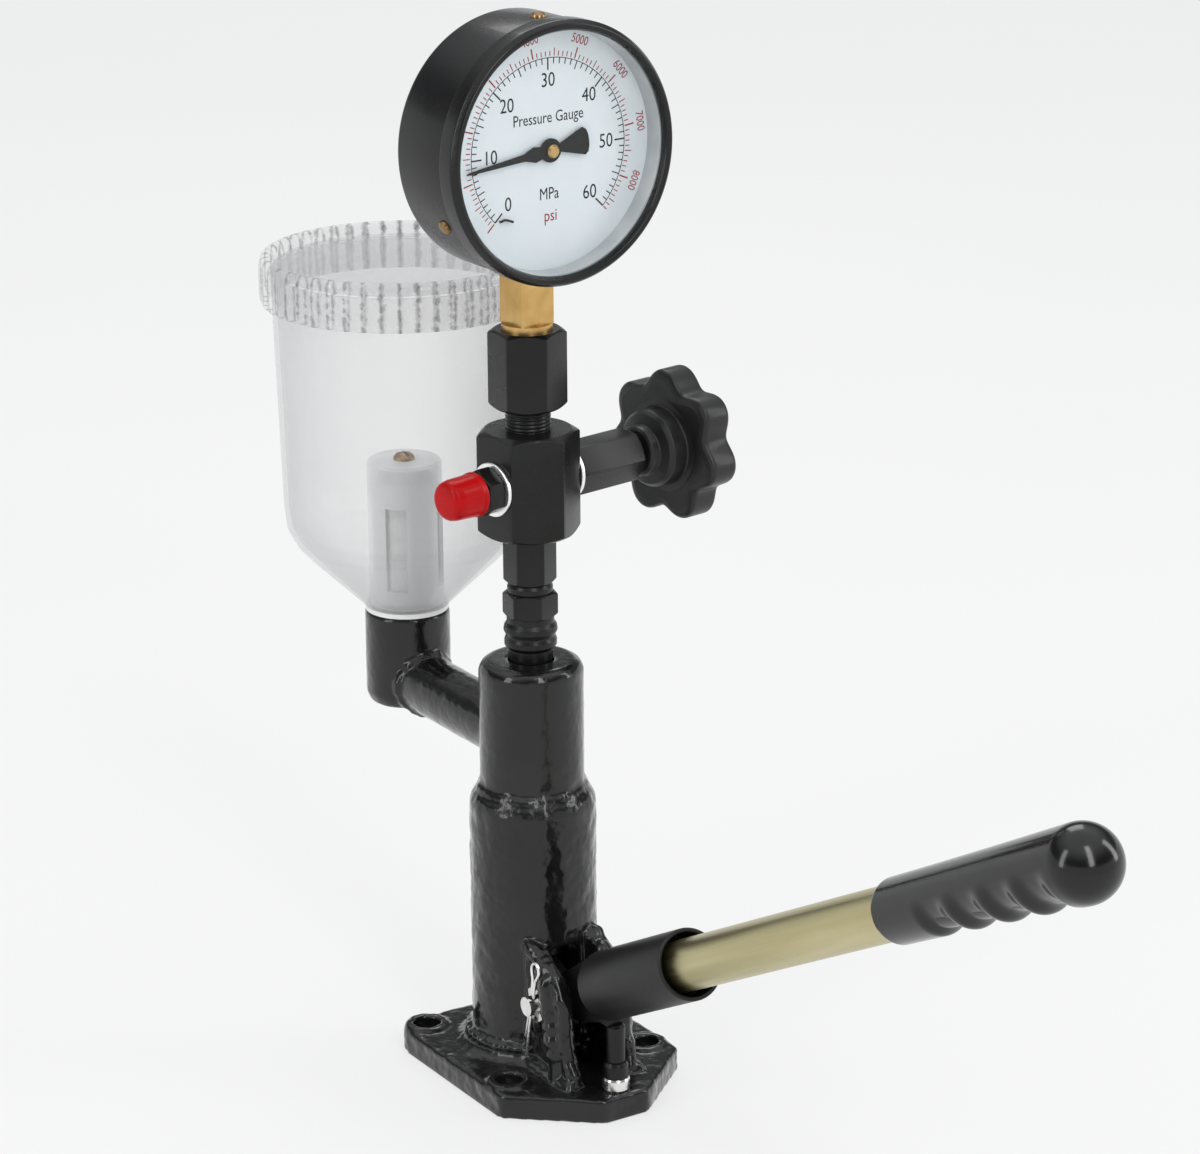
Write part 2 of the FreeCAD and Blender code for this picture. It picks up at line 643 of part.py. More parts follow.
def gauge_pointer():
    """Needle with a flare beside its hub and a widening tail, cut from thin sheet."""
    half = [(0, 38.5), (0.45, 37), (1.3, 12), (3.0, 7.4), (2.4, 4.5), (1.4, -4), (5.4, -15.4), (4.4, -16.8),
            (2.3, -17.5), (0, -17.7)]
    outline = half + [(-y, z) for y, z in reversed(half[1:-1])]
    points = [V(POINTER_X, y, z) for y, z in outline]
    hub = rod(4.6, V(POINTER_X, 0, 0), FORWARD, POINTER_T)
    solid = prism(points, FORWARD, POINTER_T).fuse(hub).cut(rod(POINTER_BORE_R, V(0, 0, 0), FORWARD, 60))
    solid.rotate(V(0, 0, 0), FORWARD, SCALE_ZERO - POINTER_TURN)
    solid.translate(V(0, 0, GAUGE_Z))
    return gauge_frame(solid)


def sector_gear():
    """Toothed sector on its own arbor below the pinion, with a tail for the link."""
    pivot = V(-1, 0, SECTOR_Z)
    blade = turned([(0, 0), (11.4, 0), (11.4, 2), (0, 2)], V(0, 0, 0), FORWARD)
    wedge = prism([V(-1, 0, -1.5), V(-1, 15, 14), V(-1, -4, 14)], FORWARD, 6)
    tail = Part.makeBox(2, 3, 12, V(0, -1.5, -11))
    arbor = rod(1.25, V(-9.8, 0, 0), FORWARD, 20.5)
    hub = rod(2.6, V(0, 0, 0), FORWARD, 2)
    solid = blade.common(wedge).fuse([tail, hub, arbor])
    solid.translate(pivot)
    solid = solid.cut(rod(LINK_STUD_R + RUN, V(-5, 0, LINK_Z), FORWARD, 10))
    return gauge_frame(solid)


def sector_link():
    """Flat link between the sector's tail and the tube's free end."""
    bar = Part.makeBox(1.2, 21.5, 3, V(1.5, -20, LINK_Z - 1.5))
    stud = rod(LINK_STUD_R, V(-1.2, 0, LINK_Z), FORWARD, 3)
    return gauge_frame(bar.fuse(stud))


# ---------------------------------------------------------------- fuel cup

def tank_seal():
    return tube(SOCKET_R - 0.4, CUP_NECK_R + 0.1, V(CUP_X, 0, SOCKET_HIGH), UP, SEAL_T)


def tank_bowl():
    """Clear cup: straight side, rounded turn, cone, threaded neck."""
    low = FEED_Z + 14
    seat = SOCKET_HIGH + SEAL_T
    outer = [(CUP_NECK_R, low), (CUP_NECK_R, seat), (17.6, seat), (18.4, seat + 1.4),
             (39.8, 191.7), (44.6, 196.8), (47.8, 201.8), (49.4, 207.2), (49.9, 213), (52.4, 300), (52.4, 313)]
    inner = [(52.4 - CUP_WALL, 313), (52.4 - CUP_WALL, 300), (47.9, 213), (47.4, 208), (45.9, 203), (43, 198.4),
             (38.4, 193.2), (17.4, POST_LOW), (9.5, POST_LOW), (9.5, low)]
    return turned(outer + inner, V(CUP_X, 0, 0))


def tank_lid():
    """Screw lid with a ribbed skirt and a sunken top."""
    solid = turned([
        (53.2, LID_LOW), (56.7, LID_LOW), (57.0, LID_LOW + 1), (57.0, LID_HIGH - 2), (56.0, LID_HIGH),
        (53.5, LID_HIGH), (52.0, LID_HIGH - 1), (51.0, LID_HIGH - 4.6), (0, LID_HIGH - 4.6), (0, LID_HIGH - 6.4),
        (53.2, LID_HIGH - 6.4),
    ], V(CUP_X, 0, 0))
    ribs = []
    for index in range(LID_RIBS):
        way = heading(360.0 * index / LID_RIBS)
        foot = V(CUP_X, 0, LID_LOW + 1.5) + along(way, LID_R - 1.4)
        ribs.append(rod(1.4, foot, UP, LID_HIGH - LID_LOW - 4.5))
    return solid.fuse(ribs)


def filter_post():
    """Hollow post that keeps the filter screen upright, with four windows."""
    height = POST_HIGH - POST_LOW
    solid = turned([
        (9, 0), (POST_R, 0), (POST_R, height - 1), (POST_R - 1, height), (3, height), (3, height - 2),
        (POST_R - 1.6, height - 2), (POST_R - 1.6, 1.5), (9, 1.5),
    ], V(CUP_X, 0, POST_LOW))
    boss = tube(4.5, 2.1, V(CUP_X, 0, POST_HIGH - 12), UP, 10.5)
    solid = solid.fuse(boss).cut(rod(2.1, V(CUP_X, 0, POST_HIGH - 12), UP, 20))
    windows = []
    for angle in (45, 135, 225, 315):
        window = Part.makeBox(6, 9, 36, V(POST_R - 4, -4.5, POST_LOW + 8))
        window.rotate(V(0, 0, 0), UP, angle)
        window.translate(V(CUP_X, 0, 0))
        windows.append(window)
    return solid.cut(windows)


def filter_screen():
    return tube(POST_R - 1.8, POST_R - 2.4, V(CUP_X, 0, POST_LOW + 1.6), UP, 52)


def post_screw():
    head = turned([(0, 0), (4.5, 0), (4.3, 1.2), (3.0, 2.5), (0, 3.0)], V(CUP_X, 0, POST_HIGH))
    slot = Part.makeBox(12, 1.2, 1.4, V(CUP_X - 6, -0.6, POST_HIGH + 1.8))
    return head.fuse(rod(2.0, V(CUP_X, 0, POST_HIGH - 12), UP, 13)).cut(slot)


# ---------------------------------------------------------------- lever

def pivot_pin():
    solid = rod(PIN_R, PIVOT - V(0, 21.5, 0), ACROSS, 41).fuse(rod(6.5, PIVOT + V(0, LUG_OUT + 0.3, 0), ACROSS, 3))
    return solid.cut(split_pin_leg(SPLIT_HOLE_R))


def split_pin_leg(radius):
    """Bar through the pivot pin's end, along the split pin."""
    way = split_pin_way()
    return rod(radius, SPLIT_PIN_MIDDLE - along(way, 24), way, 38)


SPLIT_PIN_MIDDLE = V(PIVOT.x, SPLIT_PIN_Y, PIVOT.z)


def split_pin_way():
    return V(math.sin(math.radians(SPLIT_PIN_LEAN)), 0, math.cos(math.radians(SPLIT_PIN_LEAN)))


def split_pin():
    """Split pin with an open eye on top and two legs."""
    eye = Part.makeTorus(2.6, 0.8, SPLIT_PIN_MIDDLE + along(split_pin_way(), 16.2), ACROSS)
    return split_pin_leg(SPLIT_PIN_R).fuse(eye)


def pin_washer():
    return tube(7.0, PIN_R + RUN, PIVOT - V(0, LUG_OUT + 1.2, 0), ACROSS, 1.2)


def lever_arm():
    """Welded web: pivot boss, nose under the tappet, and a spigot in the sleeve."""
    boss = rod(BOSS_ARM_R, PIVOT - V(0, LUG_IN - GAP, 0), ACROSS, 2 * (LUG_IN - GAP))
    nose = rod(NOSE_R, V(0, -WEB_HALF, NOSE_Z), ACROSS, 2 * WEB_HALF)
    inner_outline = [(0, NOSE_Z - NOSE_R), (28, 29), (28, 46.8), (17.6, 43.2), (3, 49.8), (0, NOSE_Z + NOSE_R)]
    inner = prism([V(x, -WEB_HALF, z) for x, z in inner_outline], ACROSS, 2 * WEB_HALF)
    end = lever_point(SLEEVE_START)
    top = end + along(LEVER_UP, SLEEVE_R - 1.5)
    low = end - along(LEVER_UP, SLEEVE_R - 0.4)
    outer = [V(26, 0, 30), V(47, 0, 34.4), V(57.0, 0, STOP_TOP + GAP), V(low.x - 0.4, 0, STOP_TOP + GAP), low, top,
             V(26, 0, 46.9)]
    web = prism([V(p.x, -WEB_HALF, p.z) for p in outer], ACROSS, 2 * WEB_HALF)
    spigot = rod(SLEEVE_BORE_R, end, LEVER_DIR, TUBE_START - SLEEVE_START)
    solid = boss.fuse([nose, inner, web, spigot])
    return solid.cut(rod(PIN_R + RUN, PIVOT - V(0, 30, 0), ACROSS, 60)).removeSplitter()


def lever_sleeve():
    length = SLEEVE_END - SLEEVE_START
    mouth = length - SLEEVE_MOUTH_DEPTH
    outline = [(SLEEVE_BORE_R, 0), (SLEEVE_R - 0.6, 0), (SLEEVE_R, 0.6), (SLEEVE_R, length - 0.8),
               (SLEEVE_R - 0.8, length), (SLEEVE_MOUTH_R, length), (SLEEVE_MOUTH_R, mouth), (SLEEVE_BORE_R, mouth - 1)]
    return turned(outline, lever_point(SLEEVE_START), LEVER_DIR)


def handle_tube():
    start = lever_point(TUBE_START)
    return tube(TUBE_R, TUBE_R - TUBE_WALL, start, LEVER_DIR, GRIP_END - 14 - TUBE_START)


def grip():
    """Moulded grip: plain collar, three finger ridges below, domed end."""
    length = GRIP_END - GRIP_START
    outline = [(TUBE_R + 0.02, 0), (GRIP_R - 0.6, 0), (GRIP_R, 1.2), (GRIP_R + 0.4, 34), (GRIP_END_R - 0.4, 96),
               (GRIP_END_R, length - 13)]
    dome_steps = 6
    for index in range(1, dome_steps):
        angle = math.radians(90.0 * index / dome_steps)
        outline.append((GRIP_END_R * math.cos(angle), length - 13 + 13 * math.sin(angle)))
    outline += [(0, length), (0, length - 13.9), (TUBE_R + 0.02, length - 13.9)]
    solid = turned(outline, lever_point(GRIP_START), LEVER_DIR)
    scallop_r = 11.0
    cuts = []
    for distance in FINGER_PLACES:
        centre = lever_point(GRIP_START + distance) - along(LEVER_UP, GRIP_R + scallop_r - 1.6)
        cuts.append(rod(scallop_r, centre - V(0, 30, 0), ACROSS, 60))
    return solid.cut(cuts)


def stop_rod():
    solid = turned([(0, 1.5), (STOP_R - 0.1, 1.5), (STOP_R, STOP_TOP - 1), (STOP_R - 1, STOP_TOP), (0, STOP_TOP)])
    solid.translate(V(STOP_X, 0, 0))
    return solid


def stop_nut():
    solid = turned([(STOP_R + 0.02, 15.4), (4.8, 15.4), (5.0, 16), (5.0, 20.4), (4.4, 22), (STOP_R + 0.02, 22)])
    solid.translate(V(STOP_X, 0, 0))
    return solid


def stop_washer():
    solid = turned([(STOP_R + 0.02, 10), (5.2, 10), (5.6, 10.8), (5.6, 14.6), (5.2, 15.4), (STOP_R + 0.02, 15.4)])
    solid.translate(V(STOP_X, 0, 0))
    return solid


NODES = (
    base_plate, pump_column, feed_arm, tank_socket, pump_barrel, plunger, tappet, lower_spring_seat, upper_spring_seat,
    plunger_spring, delivery_valve_seat, delivery_valve_poppet, delivery_valve_spring, delivery_valve_holder,
    block_connector, valve_block, outlet_washer, outlet_fitting, outlet_cap, bonnet_washer, valve_bonnet,
    gland_packing, valve_needle, valve_spindle, valve_knob, knob_screw, gauge_nipple, gauge_nut, gauge_gasket,
    gauge_socket, gauge_case, case_screws, gauge_bezel, gauge_glass, glass_gasket, gauge_dial, bourdon_tube,
    movement_frame, pointer_shaft, gauge_pointer, sector_gear, sector_link, tank_seal, tank_bowl,
    tank_lid, filter_post, filter_screen, post_screw, pivot_pin, split_pin, pin_washer, lever_arm, lever_sleeve,
    handle_tube, grip, stop_rod, stop_nut, stop_washer,
)

os.makedirs("parts", exist_ok=True)
for node in NODES:
    shape = node()
    box = shape.BoundBox
    print("%-24s solids %d valid %s volume %9.1f  x %.1f %.1f  y %.1f %.1f  z %.1f %.1f" % (
        node.__name__, len(shape.Solids), shape.isValid(), shape.Volume,
        box.XMin, box.XMax, box.YMin, box.YMax, box.ZMin, box.ZMax))
    shape.exportStep("parts/%s.step" % node.__name__)
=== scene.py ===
import json
import math

import bmesh
import bpy
from mathutils import Matrix, Vector, noise


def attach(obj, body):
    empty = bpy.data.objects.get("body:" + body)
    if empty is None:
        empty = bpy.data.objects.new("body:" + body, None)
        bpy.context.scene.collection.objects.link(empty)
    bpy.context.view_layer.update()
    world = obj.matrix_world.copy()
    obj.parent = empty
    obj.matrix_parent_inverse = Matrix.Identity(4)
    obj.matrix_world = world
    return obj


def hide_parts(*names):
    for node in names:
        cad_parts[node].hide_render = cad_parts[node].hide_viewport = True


# Looks of the hand pump test stand. Pieces are drawn in millimetres in local frames and
# written into their meshes in metres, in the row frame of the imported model.

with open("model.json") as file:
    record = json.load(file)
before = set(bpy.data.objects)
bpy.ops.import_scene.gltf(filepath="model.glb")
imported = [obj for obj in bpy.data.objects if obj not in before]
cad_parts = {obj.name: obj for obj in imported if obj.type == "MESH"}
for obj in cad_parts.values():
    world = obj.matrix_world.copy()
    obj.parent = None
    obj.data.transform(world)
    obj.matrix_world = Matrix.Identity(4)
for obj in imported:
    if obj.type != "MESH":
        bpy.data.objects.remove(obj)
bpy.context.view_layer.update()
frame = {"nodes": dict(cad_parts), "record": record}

MM = 0.001
UP = Vector((0, 0, 1))
FORWARD = Vector((1, 0, 0))
SLOT_OF = {part["node"]: part["material_slot"] for part in frame["record"]["subparts"]}
BODY_OF = {node: body for body, nodes in frame["record"]["behaviour"]["bodies"].items() for node in nodes}


# ---------------------------------------------------------------- places

def heading(degrees):
    return Vector((math.cos(math.radians(degrees)), math.sin(math.radians(degrees)), 0))


def place(origin, direction, side):
    """Local frame with +Z along direction and +X as near to side as it can be."""
    z = direction.normalized()
    x = (side - z * side.dot(z)).normalized()
    y = z.cross(x)
    matrix = Matrix((x, y, z)).transposed().to_4x4()
    matrix.translation = Vector(origin)
    return matrix


BLOCK_YAW = 9.7
KNOB_WAY = heading(90 + BLOCK_YAW)
OUTLET_WAY = -KNOB_WAY
VALVE_Z = 247.6
GAUGE_YAW = 2.8
GAUGE_WAY = heading(GAUGE_YAW)
GAUGE_RIGHT = heading(90 + GAUGE_YAW)
GAUGE_Z = 382.0
LEVER_TILT = math.radians(27.64)
LEVER_WAY = Vector((math.cos(LEVER_TILT), 0, math.sin(LEVER_TILT)))
LEVER_UP = Vector((-math.sin(LEVER_TILT), 0, math.cos(LEVER_TILT)))
PIVOT = Vector((28.0, 0, 38.0))
CUP_X = -98.5

STAND = place((0, 0, 0), UP, FORWARD)
CUP = place((CUP_X, 0, 0), UP, FORWARD)
KNOB_SIDE = place((0, 0, VALVE_Z), KNOB_WAY, UP)
OUTLET_SIDE = place((0, 0, VALVE_Z), OUTLET_WAY, UP)
GAUGE = place((0, 0, GAUGE_Z), GAUGE_WAY, GAUGE_RIGHT)
LEVER = place(PIVOT, LEVER_WAY, LEVER_UP)


# ---------------------------------------------------------------- materials

ALONG_LEVER = (0, -LEVER_TILT, 0)


def new_material(name):
    material = bpy.data.materials.new(name)
    material.use_nodes = True
    tree = material.node_tree
    return material, tree.nodes, tree.links, tree.nodes["Principled BSDF"]


def noise_field(nodes, links, scale, detail=4.0, roughness=0.55, length=(1, 1, 1), turn=(0, 0, 0)):
    """Noise over the object's own coordinates, in cells per metre, drawn out by length along turned axes."""
    coords = nodes.new("ShaderNodeTexCoord")
    mapping = nodes.new("ShaderNodeMapping")
    mapping.vector_type = "TEXTURE"
    mapping.inputs["Rotation"].default_value = turn
    mapping.inputs["Scale"].default_value = length
    field = nodes.new("ShaderNodeTexNoise")
    field.inputs["Scale"].default_value = scale
    field.inputs["Detail"].default_value = detail
    field.inputs["Roughness"].default_value = roughness
    links.new(coords.outputs["Object"], mapping.inputs["Vector"])
    links.new(mapping.outputs["Vector"], field.inputs["Vector"])
    return field.outputs["Fac"]


def ramp(nodes, links, source, low, high, first, last):
    """Colour from first at low to last at high."""
    node = nodes.new("ShaderNodeValToRGB")
    node.color_ramp.elements[0].position = low
    node.color_ramp.elements[0].color = (*first, 1)
    node.color_ramp.elements[1].position = high
    node.color_ramp.elements[1].color = (*last, 1)
    links.new(source, node.inputs["Fac"])
    return node.outputs["Color"]


def remap(nodes, links, source, low, high, first, last):
    """Value from first at low to last at high."""
    node = nodes.new("ShaderNodeMapRange")
    node.inputs["From Min"].default_value = low
    node.inputs["From Max"].default_value = high
    node.inputs["To Min"].default_value = first
    node.inputs["To Max"].default_value = last
    links.new(source, node.inputs["Value"])
    return node.outputs["Result"]


def add_bumps(nodes, links, shader, bumps):
    """Stacks bumps; each is (field, strength, height in metres)."""
    previous = None
    for field, strength, height in bumps:
        bump = nodes.new("ShaderNodeBump")
        bump.inputs["Strength"].default_value = strength
        bump.inputs["Distance"].default_value = height
        links.new(field, bump.inputs["Height"])
        if previous:
            links.new(previous, bump.inputs["Normal"])
        previous = bump.outputs["Normal"]
    if previous:
        links.new(previous, shader.inputs["Normal"])


def painted(name, dark, light, roughness, specular, coat, grain, lumps):
    """Black paint over metal: tone drifts, the gloss varies and the skin has a fine peel."""
    material, nodes, links, shader = new_material(name)
    drift = noise_field(nodes, links, 45, 3)
    peel = noise_field(nodes, links, grain, 3)
    lump = noise_field(nodes, links, 260, 4)
    links.new(ramp(nodes, links, drift, 0.35, 0.7, dark, light), shader.inputs["Base Color"])
    links.new(remap(nodes, links, drift, 0.3, 0.7, roughness[0], roughness[1]), shader.inputs["Roughness"])
    shader.inputs["Specular IOR Level"].default_value = specular
    shader.inputs["Coat Weight"].default_value = coat
    shader.inputs["Coat Roughness"].default_value = 0.08
    shader.inputs["Coat IOR"].default_value = 1.35
    add_bumps(nodes, links, shader, [(lump, lumps, 0.0006), (peel, 0.25, 0.00012)])
    return material


def metal(name, dark, light, roughness, length, scale, streaks):
    """Bare or plated metal with machining streaks; length says how far they run along X, Y and Z."""
    material, nodes, links, shader = new_material(name)
    drift = noise_field(nodes, links, 60, 3)
    streak = noise_field(nodes, links, scale, 3, 0.6, length)
    links.new(ramp(nodes, links, drift, 0.3, 0.72, dark, light), shader.inputs["Base Color"])
    links.new(remap(nodes, links, streak, 0.3, 0.7, roughness[0], roughness[1]), shader.inputs["Roughness"])
    shader.inputs["Metallic"].default_value = 1.0
    add_bumps(nodes, links, shader, [(streak, streaks, 0.0001)])
    return material


def passivated(name):
    """Yellow zinc on the lever tube: fine drawn streaks that run along it."""
    material, nodes, links, shader = new_material(name)
    streak = noise_field(nodes, links, 1500, 3, 0.5, (100, 1, 1), ALONG_LEVER)
    stain = noise_field(nodes, links, 110, 3, 0.5, (16, 1, 1), ALONG_LEVER)
    colour = ramp(nodes, links, stain, 0.3, 0.7, (0.43, 0.39, 0.2), (0.58, 0.52, 0.31))
    links.new(colour, shader.inputs["Base Color"])
    links.new(remap(nodes, links, streak, 0.3, 0.7, 0.27, 0.38), shader.inputs["Roughness"])
    shader.inputs["Metallic"].default_value = 1.0
    add_bumps(nodes, links, shader, [(streak, 0.05, 0.0001)])
    return material


def moulded(name, dark, light, roughness, coat, grain, strength, specular):
    """Opaque moulded plastic with a fine skin."""
    material, nodes, links, shader = new_material(name)
    drift = noise_field(nodes, links, 70, 3)
    skin = noise_field(nodes, links, grain, 4, 0.6)
    links.new(ramp(nodes, links, drift, 0.32, 0.7, dark, light), shader.inputs["Base Color"])
    links.new(remap(nodes, links, skin, 0.3, 0.7, roughness[0], roughness[1]), shader.inputs["Roughness"])
    shader.inputs["Specular IOR Level"].default_value = specular
    shader.inputs["Coat Weight"].default_value = coat
    shader.inputs["Coat Roughness"].default_value = 0.12
    add_bumps(nodes, links, shader, [(skin, strength, 0.0001)])
    return material


def clear(name, colour, facing_alpha, edge_alpha, roughness, ripple, blend):
    """Clear moulded plastic: nearly open face on, milky towards its edges, gently rippled."""
    material, nodes, links, shader = new_material(name)
    drift = noise_field(nodes, links, 30, 3)
    wave = noise_field(nodes, links, 90, 1, 0.3, (1, 1, 3))
    pale = tuple(min(1.0, 1.03 * c) for c in colour)
    links.new(ramp(nodes, links, drift, 0.3, 0.7, colour, pale), shader.inputs["Base Color"])
    shader.inputs["Roughness"].default_value = roughness
    weight = nodes.new("ShaderNodeLayerWeight")
    weight.inputs["Blend"].default_value = blend
    milkiness = remap(nodes, links, weight.outputs["Facing"], 0.0, 1.0, facing_alpha, edge_alpha)
    links.new(milkiness, shader.inputs["Alpha"])
    shader.inputs["Coat Weight"].default_value = 0.3
    shader.inputs["Coat Roughness"].default_value = 0.06
    add_bumps(nodes, links, shader, [(wave, ripple, 0.0008)])
    return material


def math_node(nodes, links, operation, first, second):
    """Math node; second is a number or a socket."""
    node = nodes.new("ShaderNodeMath")
    node.operation = operation
    links.new(first, node.inputs[0])
    if isinstance(second, (int, float)):
        node.inputs[1].default_value = second
    else:
        links.new(second, node.inputs[1])
    return node.outputs["Value"]


def ribbed(name, colour, painted_gap_shade, ribs, centre):
    """Clear plastic with upright ribs round an axis; each gap between two ribs gets a broken line of painted
    shade.
    """
    material, nodes, links, shader = new_material(name)
    coords = nodes.new("ShaderNodeTexCoord")
    mapping = nodes.new("ShaderNodeMapping")
    mapping.inputs["Location"].default_value = (-centre[0], -centre[1], 0)
    links.new(coords.outputs["Object"], mapping.inputs["Vector"])
    around = nodes.new("ShaderNodeTexGradient")
    around.gradient_type = "RADIAL"
    links.new(mapping.outputs["Vector"], around.inputs["Vector"])
    turns = math_node(nodes, links, "MULTIPLY", around.outputs["Fac"], ribs)
    saw = math_node(nodes, links, "PINGPONG", turns, 0.5)
    broken = noise_field(nodes, links, 260, 2, 0.5, (1, 1, 0.6))
    uneven = math_node(nodes, links, "ADD", saw, math_node(nodes, links, "MULTIPLY", broken, 0.5))
    # painted shade: the colour darkens to the shade colour in each gap between ribs, broken by noise, and the
    # plastic is made more opaque there
    links.new(ramp(nodes, links, uneven, 0.26, 0.4, painted_gap_shade, colour), shader.inputs["Base Color"])
    links.new(remap(nodes, links, uneven, 0.27, 0.45, 0.65, 0.2), shader.inputs["Alpha"])
    shader.inputs["Roughness"].default_value = 0.15
    shader.inputs["Coat Weight"].default_value = 0.6
    shader.inputs["Coat Roughness"].default_value = 0.05
    return material


def window_glass(name):
    """Flat window: only its reflections and a faint cast show."""
    material, nodes, links, shader = new_material(name)
    smear = noise_field(nodes, links, 40, 3)
    links.new(remap(nodes, links, smear, 0.4, 0.7, 0.01, 0.05), shader.inputs["Roughness"])
    shader.inputs["Base Color"].default_value = (0.5, 0.52, 0.52, 1)
    shader.inputs["Alpha"].default_value = 0.03
    return material


EVEN = (1, 1, 1)
TURNED = (1, 1, 0.125)
DRAWN = (1, 1, 12)

# name, dark, light, roughness range, specular, coat, grain, lumps
PAINTS = (
    ("cast_enamel", (0.004, 0.004, 0.0045), (0.009, 0.009, 0.0095), (0.12, 0.26), 0.3, 0.6, 1500, 0.5),
    ("black_steel", (0.005, 0.005, 0.005), (0.009, 0.009, 0.0095), (0.24, 0.34), 0.3, 0.0, 3200, 0.05),
    ("sleeve_black", (0.006, 0.006, 0.006), (0.011, 0.011, 0.011), (0.36, 0.46), 0.32, 0.0, 2600, 0.06),
    ("gauge_enamel", (0.004, 0.004, 0.0045), (0.007, 0.007, 0.0075), (0.24, 0.32), 0.3, 0.2, 3500, 0.03),
    ("pointer_black", (0.003, 0.003, 0.003), (0.006, 0.006, 0.006), (0.5, 0.6), 0.15, 0.0, 4000, 0.02),
)

# name, dark, light, roughness range, streak length, scale, streak strength
METALS = (
    ("zinc_bright", (0.72, 0.72, 0.7), (0.92, 0.92, 0.9), (0.16, 0.32), EVEN, 900, 0.12),
    ("brass", (0.48, 0.28, 0.08), (0.72, 0.49, 0.2), (0.24, 0.44), DRAWN, 420, 0.5),
    ("bronze", (0.2, 0.12, 0.05), (0.42, 0.28, 0.14), (0.22, 0.38), EVEN, 1200, 0.12),
    ("screen_grey", (0.4, 0.4, 0.4), (0.62, 0.62, 0.62), (0.3, 0.5), EVEN, 3000, 0.5),
    ("washer_alu", (0.86, 0.86, 0.86), (0.96, 0.96, 0.96), (0.22, 0.4), EVEN, 1100, 0.12),
    ("spring_steel", (0.2, 0.2, 0.21), (0.4, 0.4, 0.42), (0.25, 0.4), EVEN, 900, 0.12),
    ("ground_steel", (0.5, 0.5, 0.52), (0.7, 0.7, 0.72), (0.12, 0.26), TURNED, 900, 0.12),
)

# name, dark, light, roughness range, coat, grain, bump strength, specular
MOULDINGS = (
    ("grip_black", (0.003, 0.003, 0.003), (0.006, 0.006, 0.006), (0.12, 0.22), 0.3, 900, 0.08, 0.3),
    ("knob_black", (0.008, 0.008, 0.0085), (0.013, 0.013, 0.0135), (0.34, 0.46), 0.1, 2600, 0.25, 0.35),
    ("cap_red", (0.36, 0.001, 0.002), (0.46, 0.002, 0.004), (0.3, 0.4), 0.1, 1800, 0.1, 0.1),
    ("seal_white", (0.78, 0.78, 0.77), (0.86, 0.86, 0.85), (0.35, 0.5), 0.1, 1500, 0.15, 0.5),
    ("ring_grey", (0.42, 0.45, 0.46), (0.54, 0.57, 0.58), (0.35, 0.5), 0.1, 1500, 0.1, 0.5),
    ("packing", (0.06, 0.06, 0.055), (0.12, 0.12, 0.11), (0.6, 0.8), 0.0, 1800, 0.5, 0.5),
    ("dial_white", (0.67, 0.73, 0.765), (0.71, 0.77, 0.8), (0.42, 0.5), 0.1, 3000, 0.04, 0.5),
)

# name, colour, alpha face on, alpha at the edge, roughness, ripple, how soon the edge begins
CLEARS = (
    ("cup_clear", (0.63, 0.635, 0.64), 0.08, 0.66, 0.25, 0.03, 0.3),
    ("lid_clear", (0.6, 0.605, 0.61), 0.07, 0.5, 0.12, 0.1, 0.3),
    ("post_white", (0.86, 0.865, 0.87), 0.4, 0.75, 0.4, 0.05, 0.45),
)

MATERIALS = {"zinc_gold": passivated("zinc_gold"), "window_glass": window_glass("window_glass")}
for finish, family in ((painted, PAINTS), (metal, METALS), (moulded, MOULDINGS), (clear, CLEARS)):
    for row in family:
        MATERIALS[row[0]] = finish(*row)
INK_BLACK = moulded("ink_black", (0.008, 0.008, 0.01), (0.02, 0.02, 0.024), (0.5, 0.6), 0.0, 4000, 0.02, 0.1)
INK_RED = moulded("ink_red", (0.26, 0.015, 0.02), (0.34, 0.025, 0.03), (0.5, 0.6), 0.0, 4000, 0.02, 0.1)


# ---------------------------------------------------------------- mesh tools

def finish_piece(mesh, name, node, material=None, crease=35):
    """Turns a mesh in metres into a piece that rides with a node's body and takes its finish."""
    piece = bpy.data.objects.new(name, mesh)
    bpy.context.scene.collection.objects.link(piece)
    mesh.materials.clear()
    mesh.materials.append(material or MATERIALS[SLOT_OF[node]])
    mesh.shade_smooth()
    mesh.set_sharp_from_angle(angle=math.radians(crease))
    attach(piece, BODY_OF[node])
    return piece


def build(name, node, place_matrix, points, faces, material=None, crease=35):
    """Piece from local points in millimetres."""
    mesh = bpy.data.meshes.new(name)
    mesh.from_pydata([(place_matrix @ Vector(p)) * MM for p in points], [], faces)
    clean = bmesh.new()
    clean.from_mesh(mesh)
    bmesh.ops.remove_doubles(clean, verts=clean.verts, dist=1e-7)
    bmesh.ops.recalc_face_normals(clean, faces=clean.faces)
    clean.to_mesh(mesh)
    clean.free()
    return finish_piece(mesh, name, node, material, crease)


ON_AXIS = 1e-6
NEARLY_STRAIGHT = math.radians(176)


def rounded(outline, radius, steps):
    """Rounds the corners of a closed (radius, height) outline; points on the axis stay sharp."""
    result = []
    count = len(outline)
    for index, point in enumerate(outline):
        here = Vector(point[:2])
        size = point[2] if len(point) > 2 else radius
        before = Vector(outline[index - 1][:2]) - here
        after = Vector(outline[(index + 1) % count][:2]) - here
        if size <= 0 or abs(here.x) < ON_AXIS or min(before.length, after.length) < ON_AXIS:
            result.append(here)
            continue
        angle = before.angle(after)
        if angle > NEARLY_STRAIGHT:
            result.append(here)
            continue
        reach = min(size / math.tan(angle / 2), 0.45 * before.length, 0.45 * after.length)
        real = reach * math.tan(angle / 2)
        middle_way = (before.normalized() + after.normalized()).normalized()
        centre = here + middle_way * (real / math.sin(angle / 2))
        first = here + before.normalized() * reach - centre
        last = here + after.normalized() * reach - centre
        for step in range(steps + 1):
            result.append(centre + first.lerp(last, step / steps).normalized() * real)
    return result


